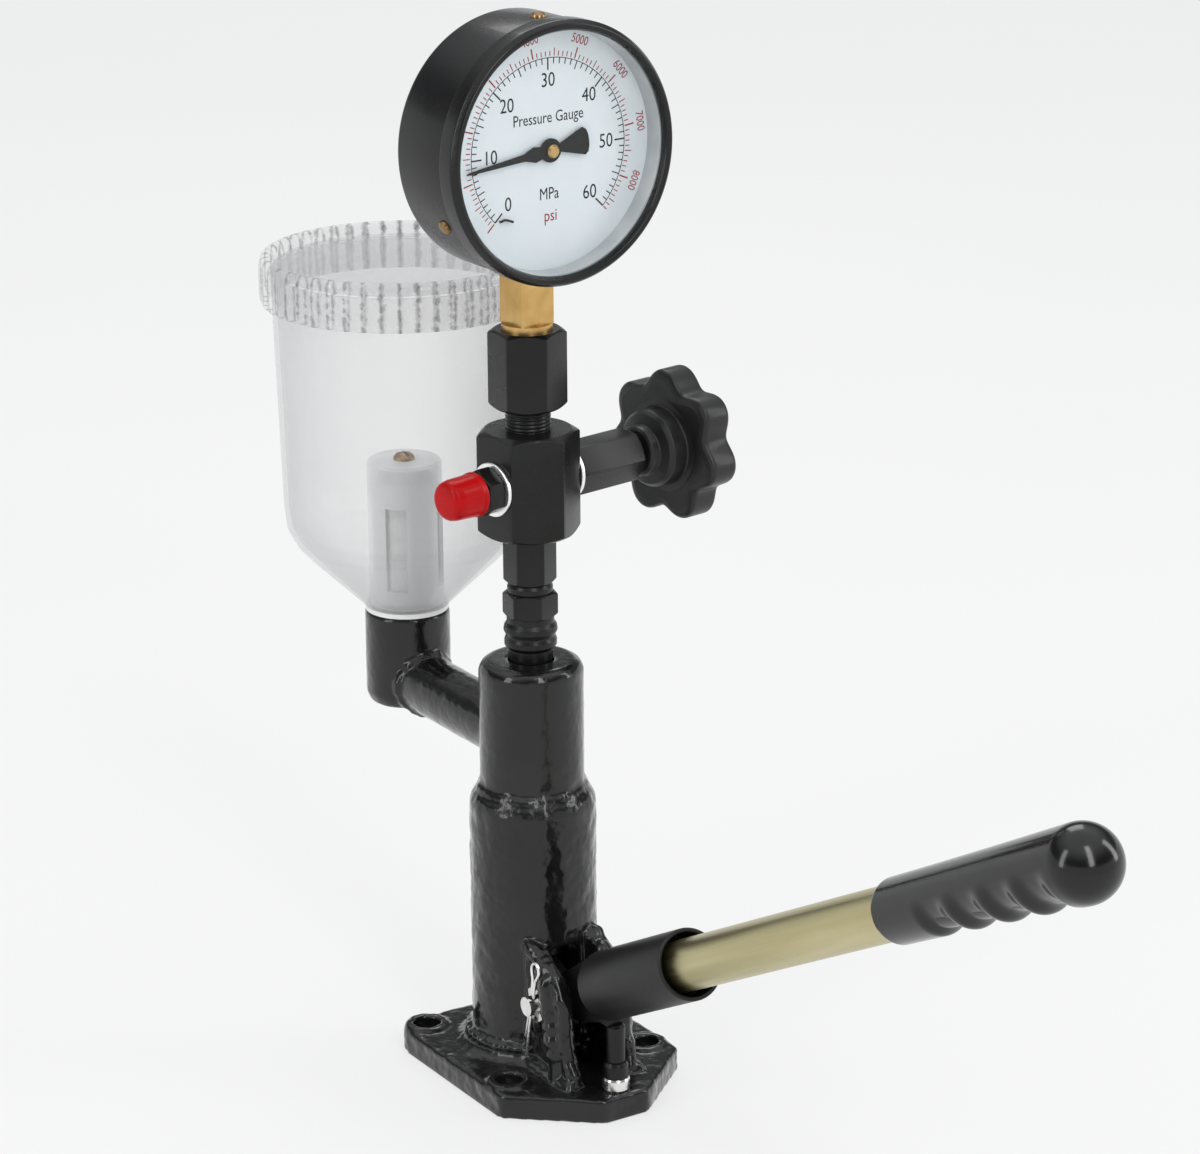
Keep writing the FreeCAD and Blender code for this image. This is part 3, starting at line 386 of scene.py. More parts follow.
def lathe(name, node, place_matrix, outline, radius=0.4, segments=96, steps=4, shape=None, material=None,
          crease=35):
    """Solid of revolution about the local +Z; shape may move each point: shape(r, z, angle)."""
    ring = rounded(outline, radius, steps)
    points = []
    faces = []
    count = len(ring)
    for turn in range(segments):
        angle = 2 * math.pi * turn / segments
        for r, z in ring:
            if shape:
                r, z = shape(r, z, angle)
            points.append((r * math.cos(angle), r * math.sin(angle), z))
    for turn in range(segments):
        following = (turn + 1) % segments
        for index in range(count):
            other = (index + 1) % count
            on_axis = max(abs(ring[index].x), abs(ring[other].x)) < ON_AXIS
            if not on_axis:
                faces.append((turn * count + index, following * count + index, following * count + other,
                              turn * count + other))
    return build(name, node, place_matrix, points, faces, material, crease)


def hexagon_radius(angle, across_flats, corner):
    """Distance from the axis to a hexagon whose vertical corners are rounded by corner."""
    sector = (angle + math.pi / 6) % (math.pi / 3) - math.pi / 6
    flat = across_flats / 2
    straight = flat / math.cos(sector)
    centre = (flat - corner) / math.cos(math.pi / 6)
    half = math.pi / 6 - abs(sector)
    inner = centre * math.sin(half)
    if corner <= 0 or abs(inner) >= corner:
        return straight
    arc = centre * math.cos(half) + math.sqrt(corner * corner - inner * inner)
    return min(straight, arc)


def hex_nut(name, node, place_matrix, across_flats, low, high, bore, bevels=(True, True), corner=0.5,
            turn=0.0, edge=0.35):
    """Hexagonal bar with turned 30 degree bevels, softly broken edges and a bore."""
    flat_r = 0.475 * across_flats
    slope = math.tan(math.radians(30))
    segments = 6 * 32
    points = []
    rings = []

    def add_ring(radius_of, height_of):
        rings.append(len(points))
        for index in range(segments):
            angle = 2 * math.pi * index / segments
            r = radius_of(angle)
            points.append((r * math.cos(angle + turn), r * math.sin(angle + turn), height_of(r)))

    def side(angle):
        return hexagon_radius(angle, across_flats, corner)

    def top_height(r):
        return high - (max(0.0, r - flat_r) * slope if bevels[1] else 0.0)

    def low_height(r):
        return low + (max(0.0, r - flat_r) * slope if bevels[0] else 0.0)

    def inset(amount):
        return lambda angle: side(angle) - amount

    add_ring(lambda angle: bore, lambda r: low)
    add_ring(lambda angle: max(bore + 0.01, flat_r - edge), lambda r: low)
    add_ring(lambda angle: flat_r, low_height)
    add_ring(inset(0.6 * edge), low_height)
    add_ring(inset(0.15 * edge), lambda r: low_height(r) + 0.3 * edge)
    add_ring(side, lambda r: low_height(r) + edge)
    add_ring(side, lambda r: top_height(r) - edge)
    add_ring(inset(0.15 * edge), lambda r: top_height(r) - 0.3 * edge)
    add_ring(inset(0.6 * edge), top_height)
    add_ring(lambda angle: flat_r, top_height)
    add_ring(lambda angle: max(bore + 0.01, flat_r - edge), lambda r: high)
    add_ring(lambda angle: bore, lambda r: high)
    faces = []
    for index, start in enumerate(rings):
        following = rings[(index + 1) % len(rings)]
        for step in range(segments):
            other = (step + 1) % segments
            faces.append((start + step, start + other, following + other, following + step))
    return build(name, node, place_matrix, points, faces, crease=28)


def mesh_of(name, data):
    """Mesh of a curve or text, made through an object that is removed again."""
    carrier = bpy.data.objects.new(name + "_path", data)
    bpy.context.scene.collection.objects.link(carrier)
    mesh = bpy.data.meshes.new_from_object(carrier.evaluated_get(bpy.context.evaluated_depsgraph_get()))
    bpy.data.objects.remove(carrier)
    return mesh


def wire(name, node, path, radius, material=None):
    """Round wire along a smooth path of row-frame points in millimetres."""
    curve = bpy.data.curves.new(name, "CURVE")
    curve.dimensions = "3D"
    curve.bevel_depth = radius * MM
    curve.bevel_resolution = 5
    curve.resolution_u = 10
    curve.use_fill_caps = True
    spline = curve.splines.new("NURBS")
    spline.points.add(len(path) - 1)
    for target, point in zip(spline.points, path):
        target.co = (*(Vector(point) * MM), 1)
    spline.order_u = 3
    spline.use_endpoint_u = True
    return finish_piece(mesh_of(name, curve), name, node, material)


def cad_copy(nodes):
    """One bmesh with copies of CAD nodes."""
    joined = bmesh.new()
    for node in nodes:
        joined.from_mesh(frame["nodes"][node].data)
    return joined


def remeshed(name, source, voxel, smoothing):
    """Voxel remesh and light smoothing of a bmesh, given back as a mesh."""
    mesh = bpy.data.meshes.new(name)
    source.to_mesh(mesh)
    source.free()
    carrier = bpy.data.objects.new(name + "_work", mesh)
    bpy.context.scene.collection.objects.link(carrier)
    grid = carrier.modifiers.new("grid", "REMESH")
    grid.mode = "VOXEL"
    grid.voxel_size = voxel
    ease = carrier.modifiers.new("ease", "SMOOTH")
    ease.factor = 0.5
    ease.iterations = smoothing
    result = bpy.data.meshes.new_from_object(carrier.evaluated_get(bpy.context.evaluated_depsgraph_get()))
    bpy.data.objects.remove(carrier)
    bpy.data.meshes.remove(mesh)
    return result


# ---------------------------------------------------------------- casting

def bead_line(target, centres, size, seed):
    """Lumps of weld or sand along a line, melted into the casting by the remesh."""
    for index, centre in enumerate(centres):
        wobble = noise.noise(Vector((index * 0.73, seed, 0.0)))
        radius = size * (1.0 + 0.3 * wobble)
        shift = noise.noise_vector(Vector((index * 0.31, seed, 2.0))) * 0.8
        matrix = Matrix.Translation((centre + shift) * MM)
        bmesh.ops.create_icosphere(target, subdivisions=2, radius=radius * MM, matrix=matrix)


def junction(x_centre, cylinder_r, arm_r, level, facing):
    """Points where a level arm along X meets an upright cylinder."""
    points = []
    for index in range(40):
        angle = 2 * math.pi * index / 40
        y = arm_r * math.sin(angle)
        x = x_centre + facing * math.sqrt(cylinder_r ** 2 - y * y)
        points.append(Vector((x, y, level + arm_r * math.cos(angle))))
    return points


def polyline(corners, step):
    """Evenly spaced points along a chain of straight lines in a plane."""
    points = []
    for first, last in zip(corners, corners[1:]):
        start = Vector(first)
        reach = Vector(last) - start
        count = max(1, int(reach.length / step))
        points += [start + reach * (index / count) for index in range(count)]
    return points + [Vector(corners[-1])]


def ring_points(radius, level, count):
    angles = [2 * math.pi * i / count for i in range(count)]
    return [Vector((radius * math.cos(angle), radius * math.sin(angle), level)) for angle in angles]


COLUMN_R = 25.5
UPPER_R = 21.0
ARM_R = 12.5
ARM_Z = 138.0
SOCKET_R = 17.75
SMOOTH_BORE_R = 17.5
UNDERSIDE_Z = 0.9
CALM_ABOVE_Z = 125.0
VOXEL = 0.85
CASTING_NODES = ("base_plate", "pump_column", "feed_arm", "tank_socket")


def rough_casting():
    """Column, plate, lugs, arm and socket as one rough, thickly enamelled casting."""
    source = cad_copy(CASTING_NODES)
    bead_line(source, junction(0, UPPER_R, ARM_R, ARM_Z, -1), 2.0, 1)
    bead_line(source, junction(CUP_X, SOCKET_R, ARM_R, ARM_Z, 1), 2.0, 2)
    bead_line(source, ring_points(UPPER_R + 0.4, 120.3, 60), 1.5, 3)
    bead_line(source, ring_points(COLUMN_R + 1.0, 15.0, 46), 2.2, 4)
    for side in (-1, 1):
        seam = [Vector((COLUMN_R * 0.86 + 0.3, side * 16.5, 14 + 2.2 * i)) for i in range(22)]
        bead_line(source, seam, 1.6, 5 + side)
        foot = [Vector((22 + 1.9 * i, side * 16.6, 10.8)) for i in range(17)]
        bead_line(source, foot, 2.6, 8 + side)
        edge = polyline([(30, 56), (39, 50.5), (43.5, 43), (46.5, 22), (51, 12)], 1.3)
        bead_line(source, [Vector((x, side * 13.9, z)) for x, z in edge], 3.3, 11 + side)
        ridge = polyline([(36, 50), (38.5, 38), (41, 24), (44, 12)], 1.3)
        bead_line(source, [Vector((x, side * 16.2, z)) for x, z in ridge], 4.0, 14 + side)
        crest = polyline([(22, 60), (30, 55), (36, 50)], 1.3)
        bead_line(source, [Vector((x, side * 15.0, z)) for x, z in crest], 3.4, 17 + side)
    mesh = remeshed("stand_casting", source, VOXEL * MM, 5)
    normals = [vertex.normal.copy() for vertex in mesh.vertices]
    for vertex, normal in zip(mesh.vertices, normals):
        point = vertex.co / MM
        radius = math.hypot(point.x, point.y)
        if radius < SMOOTH_BORE_R or point.z < UNDERSIDE_Z:
            continue
        lumps = noise.noise(point * 0.16) * 0.34 + noise.noise(point * 0.42 + Vector((7, 3, 1))) * 0.17
        calm = 0.45 if point.z > CALM_ABOVE_Z else 1.0
        vertex.co = vertex.co + normal * lumps * calm * MM
    piece = finish_piece(mesh, "stand_casting", "base_plate", crease=60)
    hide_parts(*CASTING_NODES)


rough_casting()


# ---------------------------------------------------------------- valve group

PASSAGE_R = 1.6
CHAMBER_R = 4.6
CHAMBER_TOP = 178.0
THREAD_PITCH = 1.5
THREAD_DEPTH = 0.55


def threads(name, node, place_matrix, radius, low, high):
    """Turned neck with thread grooves round the passage."""
    outline = [(PASSAGE_R, low)]
    level = low
    while level + THREAD_PITCH <= high:
        outline.append((radius - THREAD_DEPTH, level, 0.1))
        outline.append((radius, level + 0.35 * THREAD_PITCH, 0.1))
        outline.append((radius, level + 0.65 * THREAD_PITCH, 0.1))
        level += THREAD_PITCH
    outline.append((radius - THREAD_DEPTH, high, 0.1))
    outline.append((PASSAGE_R, high))
    return lathe(name, node, place_matrix, outline, 0.0, 96, 1, crease=50)


def holder():
    """Waisted neck with the delivery valve's chamber in it, a hexagon and a round crown."""
    neck = lathe("holder_neck", "delivery_valve_holder", STAND,
                 [(CHAMBER_R, 160), (8.75, 160), (8.75, 178.4), (10.5, 180, 0.8), (10.5, 182.2, 0.8),
                  (9.8, 184, 1.2), (10.85, 186.2, 1.5), (10.5, 188.2, 1.0), (9.5, 189.6, 0.8),
                  (9.5, 192.2, 0.4), (PASSAGE_R, 192.2), (PASSAGE_R, CHAMBER_TOP), (CHAMBER_R, CHAMBER_TOP)])
    hex_nut("holder_hexagon", "delivery_valve_holder", STAND, 19.3, 191.8, 202.0, PASSAGE_R,
            turn=math.radians(-38))
    lathe("holder_crown", "delivery_valve_holder", STAND,
          [(PASSAGE_R, 202.0), (9.1, 202.0, 0.5), (9.1, 204.4, 0.6), (8.3, 205.9, 0.5),
           (PASSAGE_R, 205.9)], 0.3)
    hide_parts("delivery_valve_holder")


def connector():
    piece = hex_nut("block_connector_body", "block_connector", STAND, 18.4, 206.0, 226.4, PASSAGE_R,
                    (True, False), turn=math.radians(-29.5))
    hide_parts("block_connector")


def block():
    piece = hex_nut("valve_block_body", "valve_block", STAND, 36.0, 226.2, 268.8, PASSAGE_R, corner=0.9,
                    turn=math.radians(BLOCK_YAW - 90), edge=0.5)
    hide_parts("valve_block")


def outlet():
    washer = lathe("outlet_washer_ring", "outlet_washer", OUTLET_SIDE,
                   [(5.1, 18.0), (10.8, 18.0), (10.8, 19.6), (5.1, 19.6)], 0.5)
    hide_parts("outlet_washer")
    hexagon = hex_nut("outlet_hexagon", "outlet_fitting", OUTLET_SIDE, 17.0, 19.6, 27.2, PASSAGE_R,
                      turn=math.radians(90))
    threads("outlet_thread", "outlet_fitting", OUTLET_SIDE, 6.9, 27.2, 39.6)
    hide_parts("outlet_fitting")
    cap = lathe("outlet_cap_shell", "outlet_cap", OUTLET_SIDE,
                [(7.15, 27.5), (8.9, 27.5, 0.5), (8.9, 29.0, 0.5), (8.5, 29.8, 0.3), (8.2, 39.0, 3.0),
                 (7.4, 43.1, 2.6), (0, 43.1), (0, 41.2), (7.15, 41.2)])
    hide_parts("outlet_cap")


def bonnet():
    washer = lathe("bonnet_washer_ring", "bonnet_washer", KNOB_SIDE,
                   [(7.1, 18.0), (11.6, 18.0), (11.6, 19.8), (7.1, 19.8)], 0.5)
    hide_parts("bonnet_washer")
    body = hex_nut("bonnet_body", "valve_bonnet", KNOB_SIDE, 19.4, 19.8, 53.3, 4.1)
    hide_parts("valve_bonnet")


def knob():
    """Seven rounded lobes round a stepped hub; the outer face is dished."""
    lobes = 7

    def lobe(r, z, angle):
        share = max(0.0, min(1.0, (r - 17.5) / 8.0))
        ease = share * share * (3 - 2 * share)
        wave = math.cos(lobes * angle)
        flattened = wave + 0.18 * (1 - wave * wave)
        return r + 2.7 * ease * flattened, z

    outline = [(4.06, 56.7), (9.0, 56.7, 0.8), (10.2, 57.6, 0.8), (10.4, 61.0, 0.8), (14.4, 62.4, 1.0),
               (15.8, 64.2, 1.2), (16.3, 70.6, 0.8), (19.0, 71.0, 1.0), (24.5, 70.7, 2.0), (28.5, 71.4, 3.0),
               (28.5, 84.6, 3.2), (23.6, 85.2, 1.5), (21.4, 84.0, 1.5), (19.2, 83.2, 1.0), (5.2, 83.2, 0.5),
               (5.2, 82.0), (4.06, 82.0)]
    piece = lathe("knob_body", "valve_knob", KNOB_SIDE, outline, 0.5, lobes * 40, 6, lobe)
    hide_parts("valve_knob")


def gauge_stack():
    neck = threads("gauge_nipple_neck", "gauge_nipple", STAND, 9.0, 267.5, 291.5)
    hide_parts("gauge_nipple")
    nut = hex_nut("gauge_nut_body", "gauge_nut", STAND, 27.0, 277.7, 309.1, 6.6, corner=0.7,
                  turn=math.radians(-32.5))
    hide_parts("gauge_nut")


holder()
connector()
block()
outlet()
bonnet()
knob()
gauge_stack()


# ---------------------------------------------------------------- gauge

CASE_R = 50.0
BEZEL_R = 51.0
DIAL_FRONT = 16.0


def gauge_shells():
    case = lathe("gauge_case_drum", "gauge_case", GAUGE,
                 [(0, -15), (46.5, -15, 2.0), (CASE_R, -12, 2.6), (CASE_R, 17.6, 0.3), (48, 17.6),
                  (48, -12.5), (0, -13)], 0.4, 160)
    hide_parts("gauge_case")
    bezel = lathe("gauge_bezel_ring", "gauge_bezel", GAUGE,
                  [(48, 18), (BEZEL_R, 18, 0.5), (BEZEL_R, 25.6, 1.6), (49.4, 28, 1.3), (47.6, 27.6, 0.8),
                   (46.6, 25.6, 0.4), (47.6, 25.4)], 0.3, 160, 6)
    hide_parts("gauge_bezel")
    ring = lathe("glass_ring", "glass_gasket", GAUGE,
                 [(46.2, DIAL_FRONT), (47.8, DIAL_FRONT), (47.8, 23.3), (46.9, 23.3, 0.3)], 0.2, 160)
    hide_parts("glass_gasket")


def dial_point(turn, radius, lift=0.0):
    """Point on the dial; turn is clockwise from the top in degrees."""
    angle = math.radians(turn)
    return Vector((radius * math.sin(angle), radius * math.cos(angle), DIAL_FRONT + lift))


INK_LIFT = 0.06


def add_tick(points, faces, turn, inner, outer, width):
    """Thin printed bar along a radius."""
    along = math.radians(turn)
    side = Vector((math.cos(along), -math.sin(along), 0)) * (width / 2)
    start = len(points)
    for lift in (0.0, INK_LIFT):
        low = dial_point(turn, inner, lift)
        high = dial_point(turn, outer, lift)
        points.extend([low - side, low + side, high + side, high - side])
    for a, b, c, d in ((3, 2, 1, 0), (4, 5, 6, 7), (0, 1, 5, 4), (1, 2, 6, 5), (2, 3, 7, 6), (3, 0, 4, 7)):
        faces.append((start + a, start + b, start + c, start + d))


def add_arc(points, faces, first, last, radius, width):
    """Thin printed arc."""
    steps = int(abs(last - first) / 2) + 1
    for index in range(steps):
        begin = first + (last - first) * index / steps
        end = first + (last - first) * (index + 1) / steps
        start = len(points)
        inner = radius - width / 2
        outer = radius + width / 2
        for lift in (0.0, INK_LIFT):
            points.extend([dial_point(begin, inner, lift), dial_point(end, inner, lift),
                           dial_point(end, outer, lift), dial_point(begin, outer, lift)])
        for a, b, c, d in ((0, 1, 2, 3), (7, 6, 5, 4), (0, 4, 5, 1), (2, 6, 7, 3)):
            faces.append((start + a, start + b, start + c, start + d))


SWEEP = 270.0
MPA_FULL = 60
PSI_LAST = 8700
PSI_PER_MPA = 145.038
BLACK_SCALE_R = 35.2
RED_SCALE_R = 35.8
BLACK_NUMBERS_R = 26.6
RED_NUMBERS_R = 43.0


def scale_turn(mpa):
    return -SWEEP / 2 + SWEEP * mpa / MPA_FULL


def printed_scales():
    black_points, black_faces = [], []
    for mark in range(MPA_FULL + 1):
        length = 4.6 if mark % 10 == 0 else (3.4 if mark % 5 == 0 else 2.3)
        width = 0.6 if mark % 10 == 0 else 0.42
        add_tick(black_points, black_faces, scale_turn(mark), BLACK_SCALE_R - length, BLACK_SCALE_R, width)
    add_arc(black_points, black_faces, scale_turn(0), scale_turn(MPA_FULL), BLACK_SCALE_R, 0.3)
    build("dial_black_scale", "gauge_dial", GAUGE, black_points, black_faces, INK_BLACK)
    red_points, red_faces = [], []
    for mark in range(0, PSI_LAST + 1, 100):
        length = 4.2 if mark % 1000 == 0 else (3.0 if mark % 500 == 0 else 1.9)
        width = 0.55 if mark % 1000 == 0 else 0.38
        turn = scale_turn(mark / PSI_PER_MPA)
        add_tick(red_points, red_faces, turn, RED_SCALE_R, RED_SCALE_R + length, width)
    build("dial_red_scale", "gauge_dial", GAUGE, red_points, red_faces, INK_RED)


SIZE_PER_HEIGHT = 1.38


def lettering(name, words, material):
    """Flat lettering on the dial; each word is (text, x, y, height, turn, narrowing)."""
    joined = bmesh.new()
    for text, x, y, height, turn, narrow in words:
        curve = bpy.data.curves.new(name, "FONT")
        curve.body = text
        curve.size = height * MM * SIZE_PER_HEIGHT
        curve.align_x = "CENTER"
        curve.align_y = "CENTER"
        curve.extrude = INK_LIFT / 2 * MM
        curve.resolution_u = 4
        mesh = mesh_of(name, curve)
        local = Matrix.Translation(Vector((x, y, DIAL_FRONT + INK_LIFT / 2)) * MM)
        local = local @ Matrix.Rotation(math.radians(-turn), 4, "Z") @ Matrix.Diagonal((narrow, 1, 1, 1))
        grounded = GAUGE.copy()
        grounded.translation = GAUGE.translation * MM
        mesh.transform(grounded @ local)
        joined.from_mesh(mesh)
    result = bpy.data.meshes.new(name)
    joined.to_mesh(result)
    joined.free()
    finish_piece(result, name, "gauge_dial", material)


def printed_words():
    black = []
    for mark in range(0, MPA_FULL + 1, 10):
        spot = dial_point(scale_turn(mark), BLACK_NUMBERS_R)
        black.append((str(mark), spot.x, spot.y, 5.6, 0, 0.85))
    black.append(("Pressure Gauge", 0.0, 12.4, 4.5, 0, 0.82))
    black.append(("MPa", 0.0, -17.0, 4.8, 0, 0.8))
    lettering("dial_black_words", black, INK_BLACK)
    red = [("psi", 0.6, -25.5, 4.8, 0, 0.85)]
    for mark in range(1000, PSI_LAST, 1000):
        turn = scale_turn(mark / PSI_PER_MPA)
        spot = dial_point(turn, RED_NUMBERS_R)
        red.append((str(mark), spot.x, spot.y, 3.6, turn, 0.8))
    lettering("dial_red_words", red, INK_RED)


def zero_stop():
    """Small bent pin that the pointer rests against at zero."""
    base = dial_point(scale_turn(0) - 2.5, 33.5)
    path = [base, base + Vector((0, 0, 1.0)), base + Vector((1.6, 1.0, 1.3)), base + Vector((5.2, -0.6, 1.2))]
    wire("zero_stop_pin", "gauge_dial", [GAUGE @ p for p in path], 0.45, material=INK_BLACK)


gauge_shells()
printed_scales()
printed_words()
zero_stop()


# ---------------------------------------------------------------- fuel cup

def cup_bowl():
    """Thin bowl with a conical floor and a spigot that stands in the socket."""
    outline = [(9.5, 152.0), (12.0, 152.0), (12.0, 169.7), (17.6, 169.7, 0.3), (18.5, 171.0, 0.8),
               (39.8, 191.7, 3.0), (45.2, 197.6, 6.0), (48.9, 204.6, 6.0), (49.9, 213.0, 6.0),
               (52.4, 300, 3.0), (52.4, 313.0, 0.6), (50.6, 313.0, 0.6), (50.4, 300, 3.0),
               (47.9, 213.0, 6.0), (46.9, 205.6, 6.0), (43.6, 199.0, 6.0), (38.4, 193.2, 3.0),
               (17.4, 170.7, 1.0), (9.5, 170.7)]
    piece = lathe("cup_bowl_shell", "tank_bowl", CUP, outline, 0.4, 160, 5)
    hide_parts("tank_bowl")


LID_RIBS = 48
# the second colour is the painted shade drawn in the gaps between the lid's ribs
LID_SKIRT = ribbed("lid_skirt", (0.66, 0.665, 0.67), (0.2, 0.2, 0.205), LID_RIBS, (CUP_X * MM, 0))


def cup_lid():
    """Ribbed skirt with a rolled rim, and a sunken clear top."""

    def rib(r, z, angle):
        if r > 56.2 and 301.2 < z < 317.0:
            wave = math.cos(LID_RIBS * angle)
            return r + 0.8 * max(-1.0, min(0.6, 3.0 * wave)), z
        return r, z

    outline = [(53.2, 300.0), (56.4, 300.0, 0.5), (56.9, 301.0, 0.3), (56.9, 303.5), (56.9, 309),
               (56.9, 314.5), (56.9, 317.6, 0.4), (56.6, 319.0, 0.8), (55.2, 320.0, 0.8), (53.4, 320.0, 0.8),
               (52.3, 318.8, 0.8), (51.6, 315.4), (51.6, 313.7), (53.2, 313.7)]
    skirt = lathe("cup_lid_skirt", "tank_lid", CUP, outline, 0.3, LID_RIBS * 12, 3, rib, LID_SKIRT, crease=50)
    lathe("cup_lid_top", "tank_lid", CUP, [(0, 315.2), (0, 313.9), (51.6, 313.9), (51.6, 315.2)], 0.0, 120)
    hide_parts("tank_lid")


cup_bowl()
cup_lid()


# ---------------------------------------------------------------- lever

def sleeve():
    piece = lathe("sleeve_body", "lever_sleeve", LEVER,
                  [(10.5, 31.5), (14.2, 31.5, 0.6), (14.2, 97.2, 0.7), (12.5, 97.2, 0.7), (12.5, 87.0, 0.4),
                   (10.5, 86.0, 0.3)], 0.4, 112)
    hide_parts("lever_sleeve")


def handle_pipe():
    outline = [(8.6, 40), (10.2, 40), (10.2, 356), (8.6, 356)]
    piece = lathe("handle_pipe", "handle_tube", LEVER, outline, 0.4, 112)
    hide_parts("handle_tube")


GRIP_START = 245.0
GRIP_LENGTH = 125.0
FINGERS_START = 25.5
FINGER_PITCH = 20.7
FINGER_DEPTH = 3.4
FINGER_GROOVES = 4
TUBE_FIT_R = 10.22
BALL_R = 14.2


def grip_body():
    """Dipped grip: smooth above, four finger grooves with three ridges between them below, ball end."""

    def fingers(r, z, angle):
        if r < 11.0:
            return r, z
        groove = (z - GRIP_START - FINGERS_START) / FINGER_PITCH
        below = max(0.0, 0.15 - math.cos(angle))
        if 0.0 < groove < FINGER_GROOVES:
            crest = (0.5 + 0.5 * math.cos(2 * math.pi * groove)) ** 2
            return r - FINGER_DEPTH * (1.0 - crest) * min(1.0, below) ** 0.8, z
        return r, z

    outline = [(TUBE_FIT_R, GRIP_START), (11.9, GRIP_START, 0.7), (12.3, 246.4, 0.6)]
    steps = 110
    for index in range(1, steps + 1):
        share = index / steps
        outline.append((12.3 + 1.9 * share ** 1.3, 246.4 + share * (GRIP_LENGTH - 15.0), 0))
    dome_steps = 14
    for index in range(1, dome_steps):
        angle = math.radians(90.0 * index / dome_steps)
        outline.append((BALL_R * math.cos(angle), 356.4 + 13.6 * math.sin(angle), 0))
    outline += [(0, GRIP_START + GRIP_LENGTH), (0, 356.2), (TUBE_FIT_R, 356.2)]
    piece = lathe("grip_shell", "grip", LEVER, outline, 0.4, 96, 4, fingers, crease=50)
    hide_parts("grip")


def split_pin_wire():
    """Round wire bent into an eye, its two legs side by side below."""
    lean = math.radians(12)
    way = Vector((math.sin(lean), 0, math.cos(lean)))
    side = Vector((math.cos(lean), 0, -math.sin(lean)))
    middle = Vector((PIVOT.x, -18.9, PIVOT.z))

    eye = ((12.0, 0.75), (14.2, 2.0), (17.0, 2.9), (19.4, 1.6))
    long_leg = ((-23.5, 0.9), (-12, 0.7), (4, 0.7))
    short_leg = ((4, -0.7), (-10, -0.7), (-15.5, -1.2))
    other_half = tuple((height, -offset) for height, offset in reversed(eye))
    path = [middle + way * height + side * offset
            for height, offset in (*long_leg, *eye, (20.0, 0), *other_half, *short_leg)]
    piece = wire("split_pin_wire", "split_pin", path, 0.72)
    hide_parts("split_pin")


sleeve()
handle_pipe()
grip_body()
split_pin_wire()


# ---------------------------------------------------------------- the remaining CAD nodes

for node_name, cad_object in frame["nodes"].items():
    cad_object.data.materials.clear()
    cad_object.data.materials.append(MATERIALS[SLOT_OF[node_name]])


# ---------------------------------------------------------------- studio

DOME_LOW = 0.15
DOME_HIGH = 1.25
HORIZON = 0.85
FLOOR_GLOW = 0.68
FLOOR_REACH = 12.0
FLOOR_DROP = 0.0003
CAMERA_LENS = 119.47
CAMERA_AZIMUTH = math.radians(57.472)
CAMERA_PITCH = math.radians(18.232)
CAMERA_ROLL = math.radians(-0.357)
CAMERA_PLACE = Vector((1.275375, -0.780542, 0.699845))


def pale_floor():
    """Wide floor that also glows a little, so that it stays evenly pale."""
    corners = [(x * FLOOR_REACH, y * FLOOR_REACH, 0) for x, y in ((-1, -1), (1, -1), (1, 1), (-1, 1))]
    floor_mesh = bpy.data.meshes.new("floor")
    floor_mesh.from_pydata(corners, [], [(0, 1, 2, 3)])
    floor = bpy.data.objects.new("floor", floor_mesh)
    floor.location.z = -FLOOR_DROP
    bpy.context.scene.collection.objects.link(floor)
    material, nodes, links, shader = new_material("floor_pale")
    tone = noise_field(nodes, links, 2.0, 3)
    colour = ramp(nodes, links, tone, 0.3, 0.7, (0.2, 0.2, 0.2), (0.21, 0.21, 0.21))
    links.new(colour, shader.inputs["Base Color"])
    shader.inputs["Roughness"].default_value = 0.9
    shader.inputs["Specular IOR Level"].default_value = 0.0
    shader.inputs["Emission Color"].default_value = (1, 1, 1, 1)
    shader.inputs["Emission Strength"].default_value = FLOOR_GLOW
    floor_mesh.materials.append(material)


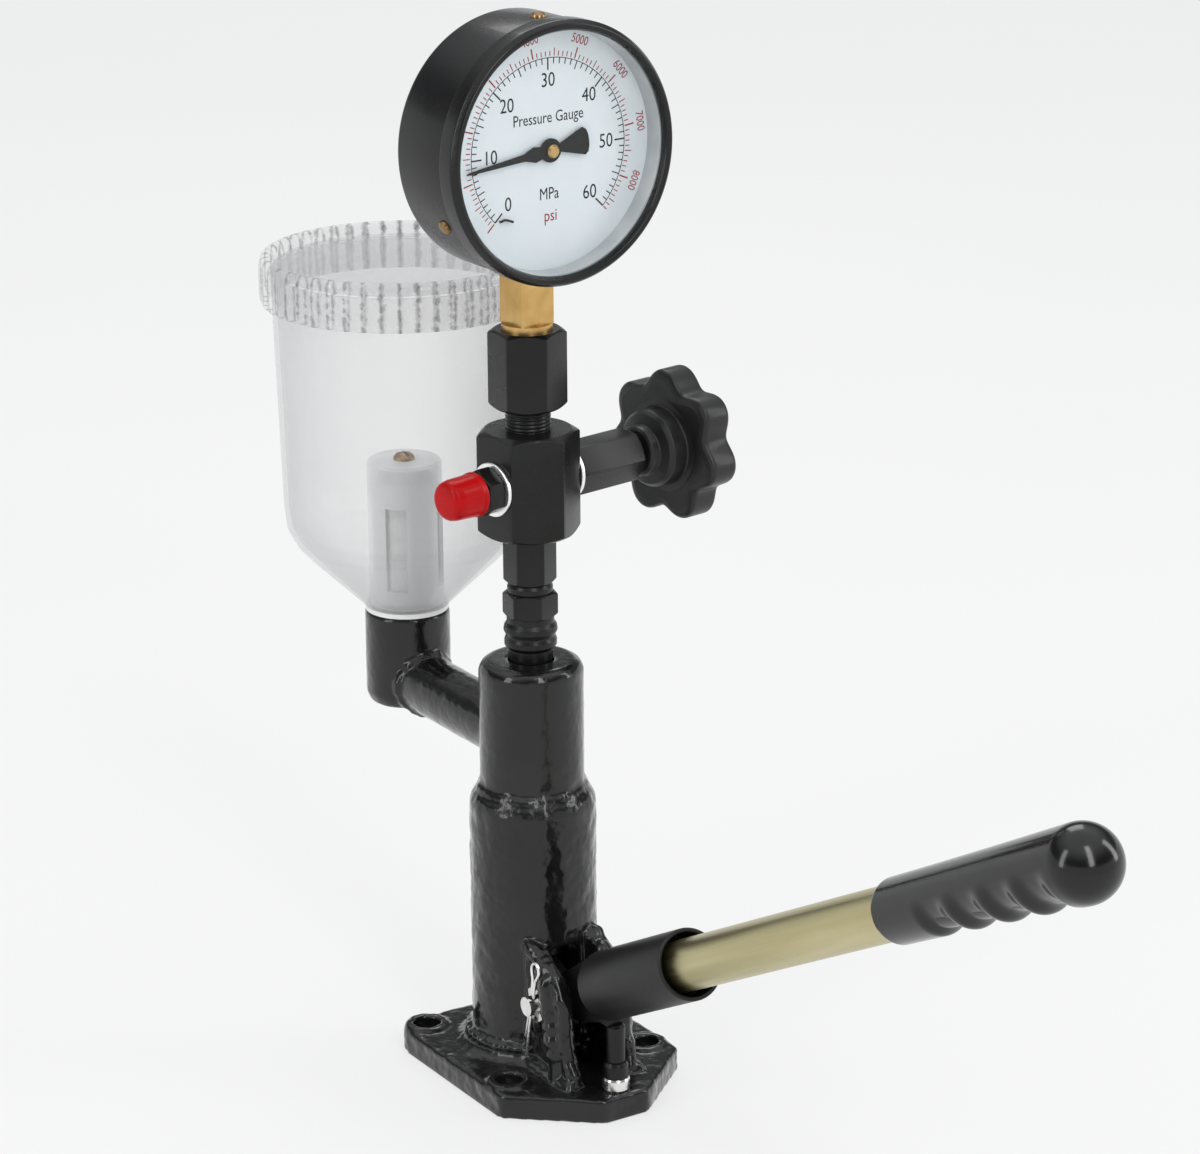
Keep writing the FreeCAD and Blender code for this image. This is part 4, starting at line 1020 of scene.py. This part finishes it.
def dome():
    """Sky that is bright overhead, dim lower down and pale at the horizon."""
    world = bpy.data.worlds.new("studio")
    world.use_nodes = True
    nodes = world.node_tree.nodes
    links = world.node_tree.links
    direction = nodes.new("ShaderNodeTexCoord")
    split = nodes.new("ShaderNodeSeparateXYZ")
    links.new(direction.outputs["Generated"], split.inputs["Vector"])
    overhead = remap(nodes, links, split.outputs["Z"], 0.45, 0.85, DOME_LOW, DOME_HIGH)
    horizon = remap(nodes, links, split.outputs["Z"], 0.18, 0.24, HORIZON, DOME_LOW)
    glow = math_node(nodes, links, "MAXIMUM", overhead, horizon)
    nodes["Background"].inputs["Color"].default_value = (0.97, 0.985, 1.0, 1)
    links.new(glow, nodes["Background"].inputs["Strength"])
    bpy.context.scene.world = world


def softbox(name, location, target, width, height, watts):
    data = bpy.data.lights.new(name, "AREA")
    data.shape = "RECTANGLE"
    data.size = width
    data.size_y = height
    data.energy = watts
    light = bpy.data.objects.new(name, data)
    light.location = location
    light.rotation_mode = "QUATERNION"
    light.rotation_quaternion = (Vector(target) - Vector(location)).to_track_quat("-Z", "Y")
    bpy.context.scene.collection.objects.link(light)


def camera():
    data = bpy.data.cameras.new("camera")
    data.sensor_width = 36.0
    data.lens = CAMERA_LENS
    data.clip_start = 0.05
    data.clip_end = 60.0
    shot = bpy.data.objects.new("camera", data)
    flat = math.cos(CAMERA_PITCH)
    back = Vector((math.sin(CAMERA_AZIMUTH) * flat, -math.cos(CAMERA_AZIMUTH) * flat, math.sin(CAMERA_PITCH)))
    right = UP.cross(back).normalized()
    up = back.cross(right)
    tilted_right = right * math.cos(CAMERA_ROLL) + up * math.sin(CAMERA_ROLL)
    tilted_up = up * math.cos(CAMERA_ROLL) - right * math.sin(CAMERA_ROLL)
    matrix = Matrix((tilted_right, tilted_up, back)).transposed().to_4x4()
    matrix.translation = CAMERA_PLACE
    shot.matrix_world = matrix
    bpy.context.scene.collection.objects.link(shot)
    bpy.context.scene.camera = shot


pale_floor()
dome()
softbox("key_strip", (1.3, -0.2, 1.1), (0, 0, 0.2), 0.3, 1.3, 8)
softbox("left_strip", (0.1, -1.6, 0.9), (0, 0, 0.22), 0.4, 1.3, 8)
softbox("right_strip", (0.9, 1.4, 0.9), (0, 0, 0.22), 0.4, 1.3, 8)
softbox("back_top", (-1.0, 0.6, 1.6), (0, 0, 0.3), 0.8, 0.8, 6)
camera()
bpy.context.scene.view_settings.view_transform = "Standard"
